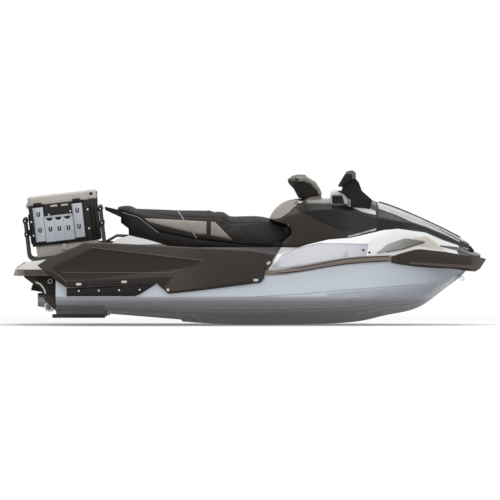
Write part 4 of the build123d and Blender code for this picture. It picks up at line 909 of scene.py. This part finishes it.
def buildHoodSeal():
    skin = skinOf("cowl", "cowl_side_left", "cowl_side_right")
    bm = bmesh.new()
    bmesh.ops.create_grid(bm, x_segments=60, y_segments=2, size=0.5)
    for vert in bm.verts:
        angle = math.radians(2 * sealPlan["reach"] * vert.co.x)
        aim = Vector((0, math.sin(angle), math.cos(angle)))
        x = sealPlan["back"] + (sealPlan["front"] - sealPlan["back"]) * (vert.co.y + 0.5)
        spot, _, _, _ = skin.ray_cast(Vector((sealPlan["back"] + 0.004, 0, sealPlan["axisZ"])) + aim, -aim)
        vert.co = Vector((x, spot.y, spot.z)) - aim * sealPlan["sunk"]
    for face in bm.faces:
        face.normal_update()
    if sum(face.normal.z for face in bm.faces) < 0:
        bmesh.ops.reverse_faces(bm, faces=bm.faces)
    settle(bm, "hoodSeal", "rubberBlack", thick=sealPlan["thick"])


# speckled knee pad round the back of the cowl: its front edge as height and place along the boat, mm
padPlan = dict(low=0.500, high=0.640, axisX=0.37, thick=0.003, edge=[(494, 178), (508, 236), (548, 296), (596, 345), (645, 380)])


def buildCowlPad():
    skin = skinOf("cowl")

    def meet(angle, z):
        aim = Vector((-math.cos(angle), math.sin(angle), 0))
        spot, _, _, _ = skin.ray_cast(Vector((padPlan["axisX"], 0, z)) + aim * 0.7, -aim)
        return spot, aim

    reach = {}
    bm = bmesh.new()
    bmesh.ops.create_grid(bm, x_segments=36, y_segments=16, size=0.5)
    for vert in bm.verts:
        z = padPlan["low"] + (padPlan["high"] - padPlan["low"]) * (vert.co.y + 0.5)
        if z not in reach:    # how far round this row reaches before it meets the front edge
            limit = next(x0 + (x1 - x0) * (z * 1000 - z0) / (z1 - z0)
                         for (z0, x0), (z1, x1) in zip(padPlan["edge"], padPlan["edge"][1:]) if z * 1000 <= z1) / 1000
            step = math.radians(2)
            turn = step
            while turn < math.radians(120) and meet(turn, z)[0] is not None and meet(turn, z)[0].x < limit:
                turn += step
            reach[z] = turn - step
        spot, aim = meet(2 * vert.co.x * reach[z], z)
        vert.co = spot + aim * 0.0005
    for face in bm.faces:
        face.normal_update()
    if sum(face.normal.x for face in bm.faces) > 0:
        bmesh.ops.reverse_faces(bm, faces=bm.faces)
    settle(bm, "cowlPad", "padSpeckle", thick=padPlan["thick"])


def buildSpine():    # raised black rib along the middle of the hood
    layTop("hoodSpine", "hoodBlack", [(972, -26), (1586, -10), (1586, 10), (972, 26)], skinOf("hood", "hood_panel"), 0.006, (50, 4), body="hood")


buildHoodSeal()
buildCowlPad()
buildSpine()
buildCoolerFittings()
buildControls()
buildDash()
buildClips()
buildStern()
buildMats()
print("fittings made")


# seat covers, swollen by cloth over the CAD cushions
seatPlan = dict(voxel=0.009, swell=0.004, pressure=2.5, frames=12, cap=0.006, seamWide=0.007, seamDeep=0.003)
seatSeams = [    # sewn lines seen from the side, mm
    [(-800, 505), (-332, 481), (-332, 386), (-400, 386), (-770, 478), (-800, 505)],
    [(-299, 479), (-269, 477), (-140, 344), (-299, 378), (-299, 479)],
    [(-868, 562), (-541, 512), (-302, 508)],
    [(-82, 437), (15, 341)],
    [(-298, 508), (-206, 500), (-150, 462), (60, 470), (150, 452), (290, 405)],
]


def lineGap(line, x, z):    # distance from a point to a side-view polyline, metres
    best = 1.0
    for (x0, z0), (x1, z1) in zip(line, line[1:]):
        ax, az, bx, bz = x0 / 1000, z0 / 1000, x1 / 1000, z1 / 1000
        t = max(0.0, min(1.0, ((x - ax) * (bx - ax) + (z - az) * (bz - az)) / ((bx - ax) ** 2 + (bz - az) ** 2)))
        best = min(best, math.hypot(x - ax - (bx - ax) * t, z - az - (bz - az) * t))
    return best


def swellCushion(name, node, baseLine):
    start = bpy.data.objects.new(name, nodes[node].data.copy())
    bpy.context.scene.collection.objects.link(start)
    bm = bmesh.new()
    bm.from_mesh(start.data)
    bmesh.ops.remove_doubles(bm, verts=bm.verts, dist=0.00002)
    bm.to_mesh(start.data)
    bm.free()
    grid = start.modifiers.new("grid", "REMESH")
    grid.mode = "VOXEL"
    grid.voxel_size = seatPlan["voxel"]
    soft = start.modifiers.new("soft", "SMOOTH")
    soft.iterations = 14
    full = start.modifiers.new("full", "DISPLACE")    # makes good what the smoothing takes off
    full.strength = seatPlan["swell"]
    full.mid_level = 0.0
    bpy.context.view_layer.update()
    skin = bpy.data.meshes.new_from_object(start.evaluated_get(bpy.context.evaluated_depsgraph_get()))
    start.modifiers.clear()
    start.data = skin
    rest = [v.co.copy() for v in skin.vertices]
    held = start.vertex_groups.new(name="held")
    held.add([v.index for v in skin.vertices if lineGap(baseLine, v.co.x, v.co.z) < 0.03], 1.0, "REPLACE")
    cloth = start.modifiers.new("swell", "CLOTH")
    cloth.settings.use_pressure = True
    cloth.settings.uniform_pressure_force = seatPlan["pressure"]
    cloth.settings.vertex_group_mass = "held"
    cloth.settings.effector_weights.gravity = 0.0
    cloth.point_cache.frame_start, cloth.point_cache.frame_end = 1, seatPlan["frames"]
    for step in range(1, seatPlan["frames"] + 1):
        bpy.context.scene.frame_set(step)
    swollen = bpy.data.meshes.new_from_object(start.evaluated_get(bpy.context.evaluated_depsgraph_get()))
    start.modifiers.clear()
    start.vertex_groups.clear()
    for vert, before in zip(swollen.vertices, rest):
        move = vert.co - before
        if move.length > seatPlan["cap"]:
            vert.co = before + move * (seatPlan["cap"] / move.length)
    start.data = swollen
    bpy.context.scene.frame_set(1)
    bm = bmesh.new()
    bm.from_mesh(start.data)
    bmesh.ops.subdivide_edges(bm, edges=bm.edges, cuts=1, use_grid_fill=True)
    bmesh.ops.smooth_vert(bm, verts=bm.verts, factor=0.5, use_axis_x=True, use_axis_y=True, use_axis_z=True)
    bm.normal_update()
    for vert in bm.verts:
        if abs(vert.normal.y) > 0.35 or vert.normal.z > 0.3:
            gap = min(lineGap(seam, vert.co.x, vert.co.z) for seam in seatSeams) if abs(vert.co.y) > 0.09 else 1.0
            if gap < seatPlan["seamWide"]:
                vert.co -= vert.normal * seatPlan["seamDeep"] * (1 - (gap / seatPlan["seamWide"]) ** 2)
    bm.to_mesh(start.data)
    bm.free()
    for face in start.data.polygons:
        face.use_smooth = True
    start.data.materials.clear()
    start.data.materials.append(looks["seatVinyl"])
    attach(start, "craft")
    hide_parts(node)
    return start


seatFoot = [(-1004, 562), (-980, 555), (-845, 515), (-700, 405), (-400, 345), (0, 300), (180, 300), (236, 321), (306, 381)]
rearCover = swellCushion("rearSeatCover", "seat_rear", seatFoot)
frontCover = swellCushion("frontSeatCover", "seat_front", seatFoot)
print("seat covers made")

# bands over the seat from side to side: a piping with a stud at each foot, and the strip between the cushions
bandPlan = {
    "seatPiping": dict(look="strapGrey", top=(-0.542, 0.546), foot=(-0.406, 0.352), reach=108.0, wide=0.009, thick=0.003, probe=(0.0,)),
    "seatBand": dict(look="seatVinyl", top=(-0.304, 0.546), foot=(-0.304, 0.352), reach=110.0, wide=0.052, thick=0.0015,
                     probe=(-0.03, 0.0, 0.03)),
}
bandAxis = 0.42


def buildBands():
    bm = bmesh.new()
    for mesh in (rearCover.data, frontCover.data, nodes["seat_base"].data):
        bm.from_mesh(mesh)
    skin = BVHTree.FromBMesh(bm)
    bm.free()
    for name, plan in bandPlan.items():
        (topX, topZ), (footX, footZ) = plan["top"], plan["foot"]
        bm = bmesh.new()
        bmesh.ops.create_grid(bm, x_segments=120, y_segments=4, size=0.5)
        for vert in bm.verts:
            angle = math.radians(plan["reach"] * 2 * vert.co.x)
            offset = vert.co.y * plan["wide"]
            aim = Vector((0, math.sin(angle), math.cos(angle)))
            z = topZ
            for _ in range(4):    # a band may lean, so its place along the seat follows its height
                x = topX + (topZ - min(z, topZ + 0.02)) * (footX - topX) / (topZ - footZ) + offset
                far = 0.0
                for shift in plan["probe"]:
                    spot, _, _, _ = skin.ray_cast(Vector((x + shift, 0, bandAxis)) + aim * 0.6, -aim)
                    far = max(far, (spot - Vector((x + shift, 0, bandAxis))).length)
                z = bandAxis + aim.z * far
            vert.co = Vector((x, 0, bandAxis)) + aim * (far + 0.0006)
        for face in bm.faces:
            face.normal_update()
        middle = Vector((topX, 0, bandAxis))
        if sum(face.normal.dot(face.calc_center_median() - middle) for face in bm.faces) < 0:
            bmesh.ops.reverse_faces(bm, faces=bm.faces)
        settle(bm, name, plan["look"], thick=plan["thick"])
    studs = bmesh.new()
    skin = skinOf("seat_base")
    for side in (-1, 1):
        spot, normal = touchSide(skin, -406, 331, side)
        addDome(studs, spot, normal, 0.012, 0.008)
    settle(studs, "seatStuds", "rubberBlack", smooth=30)


buildBands()
print("bands laid")
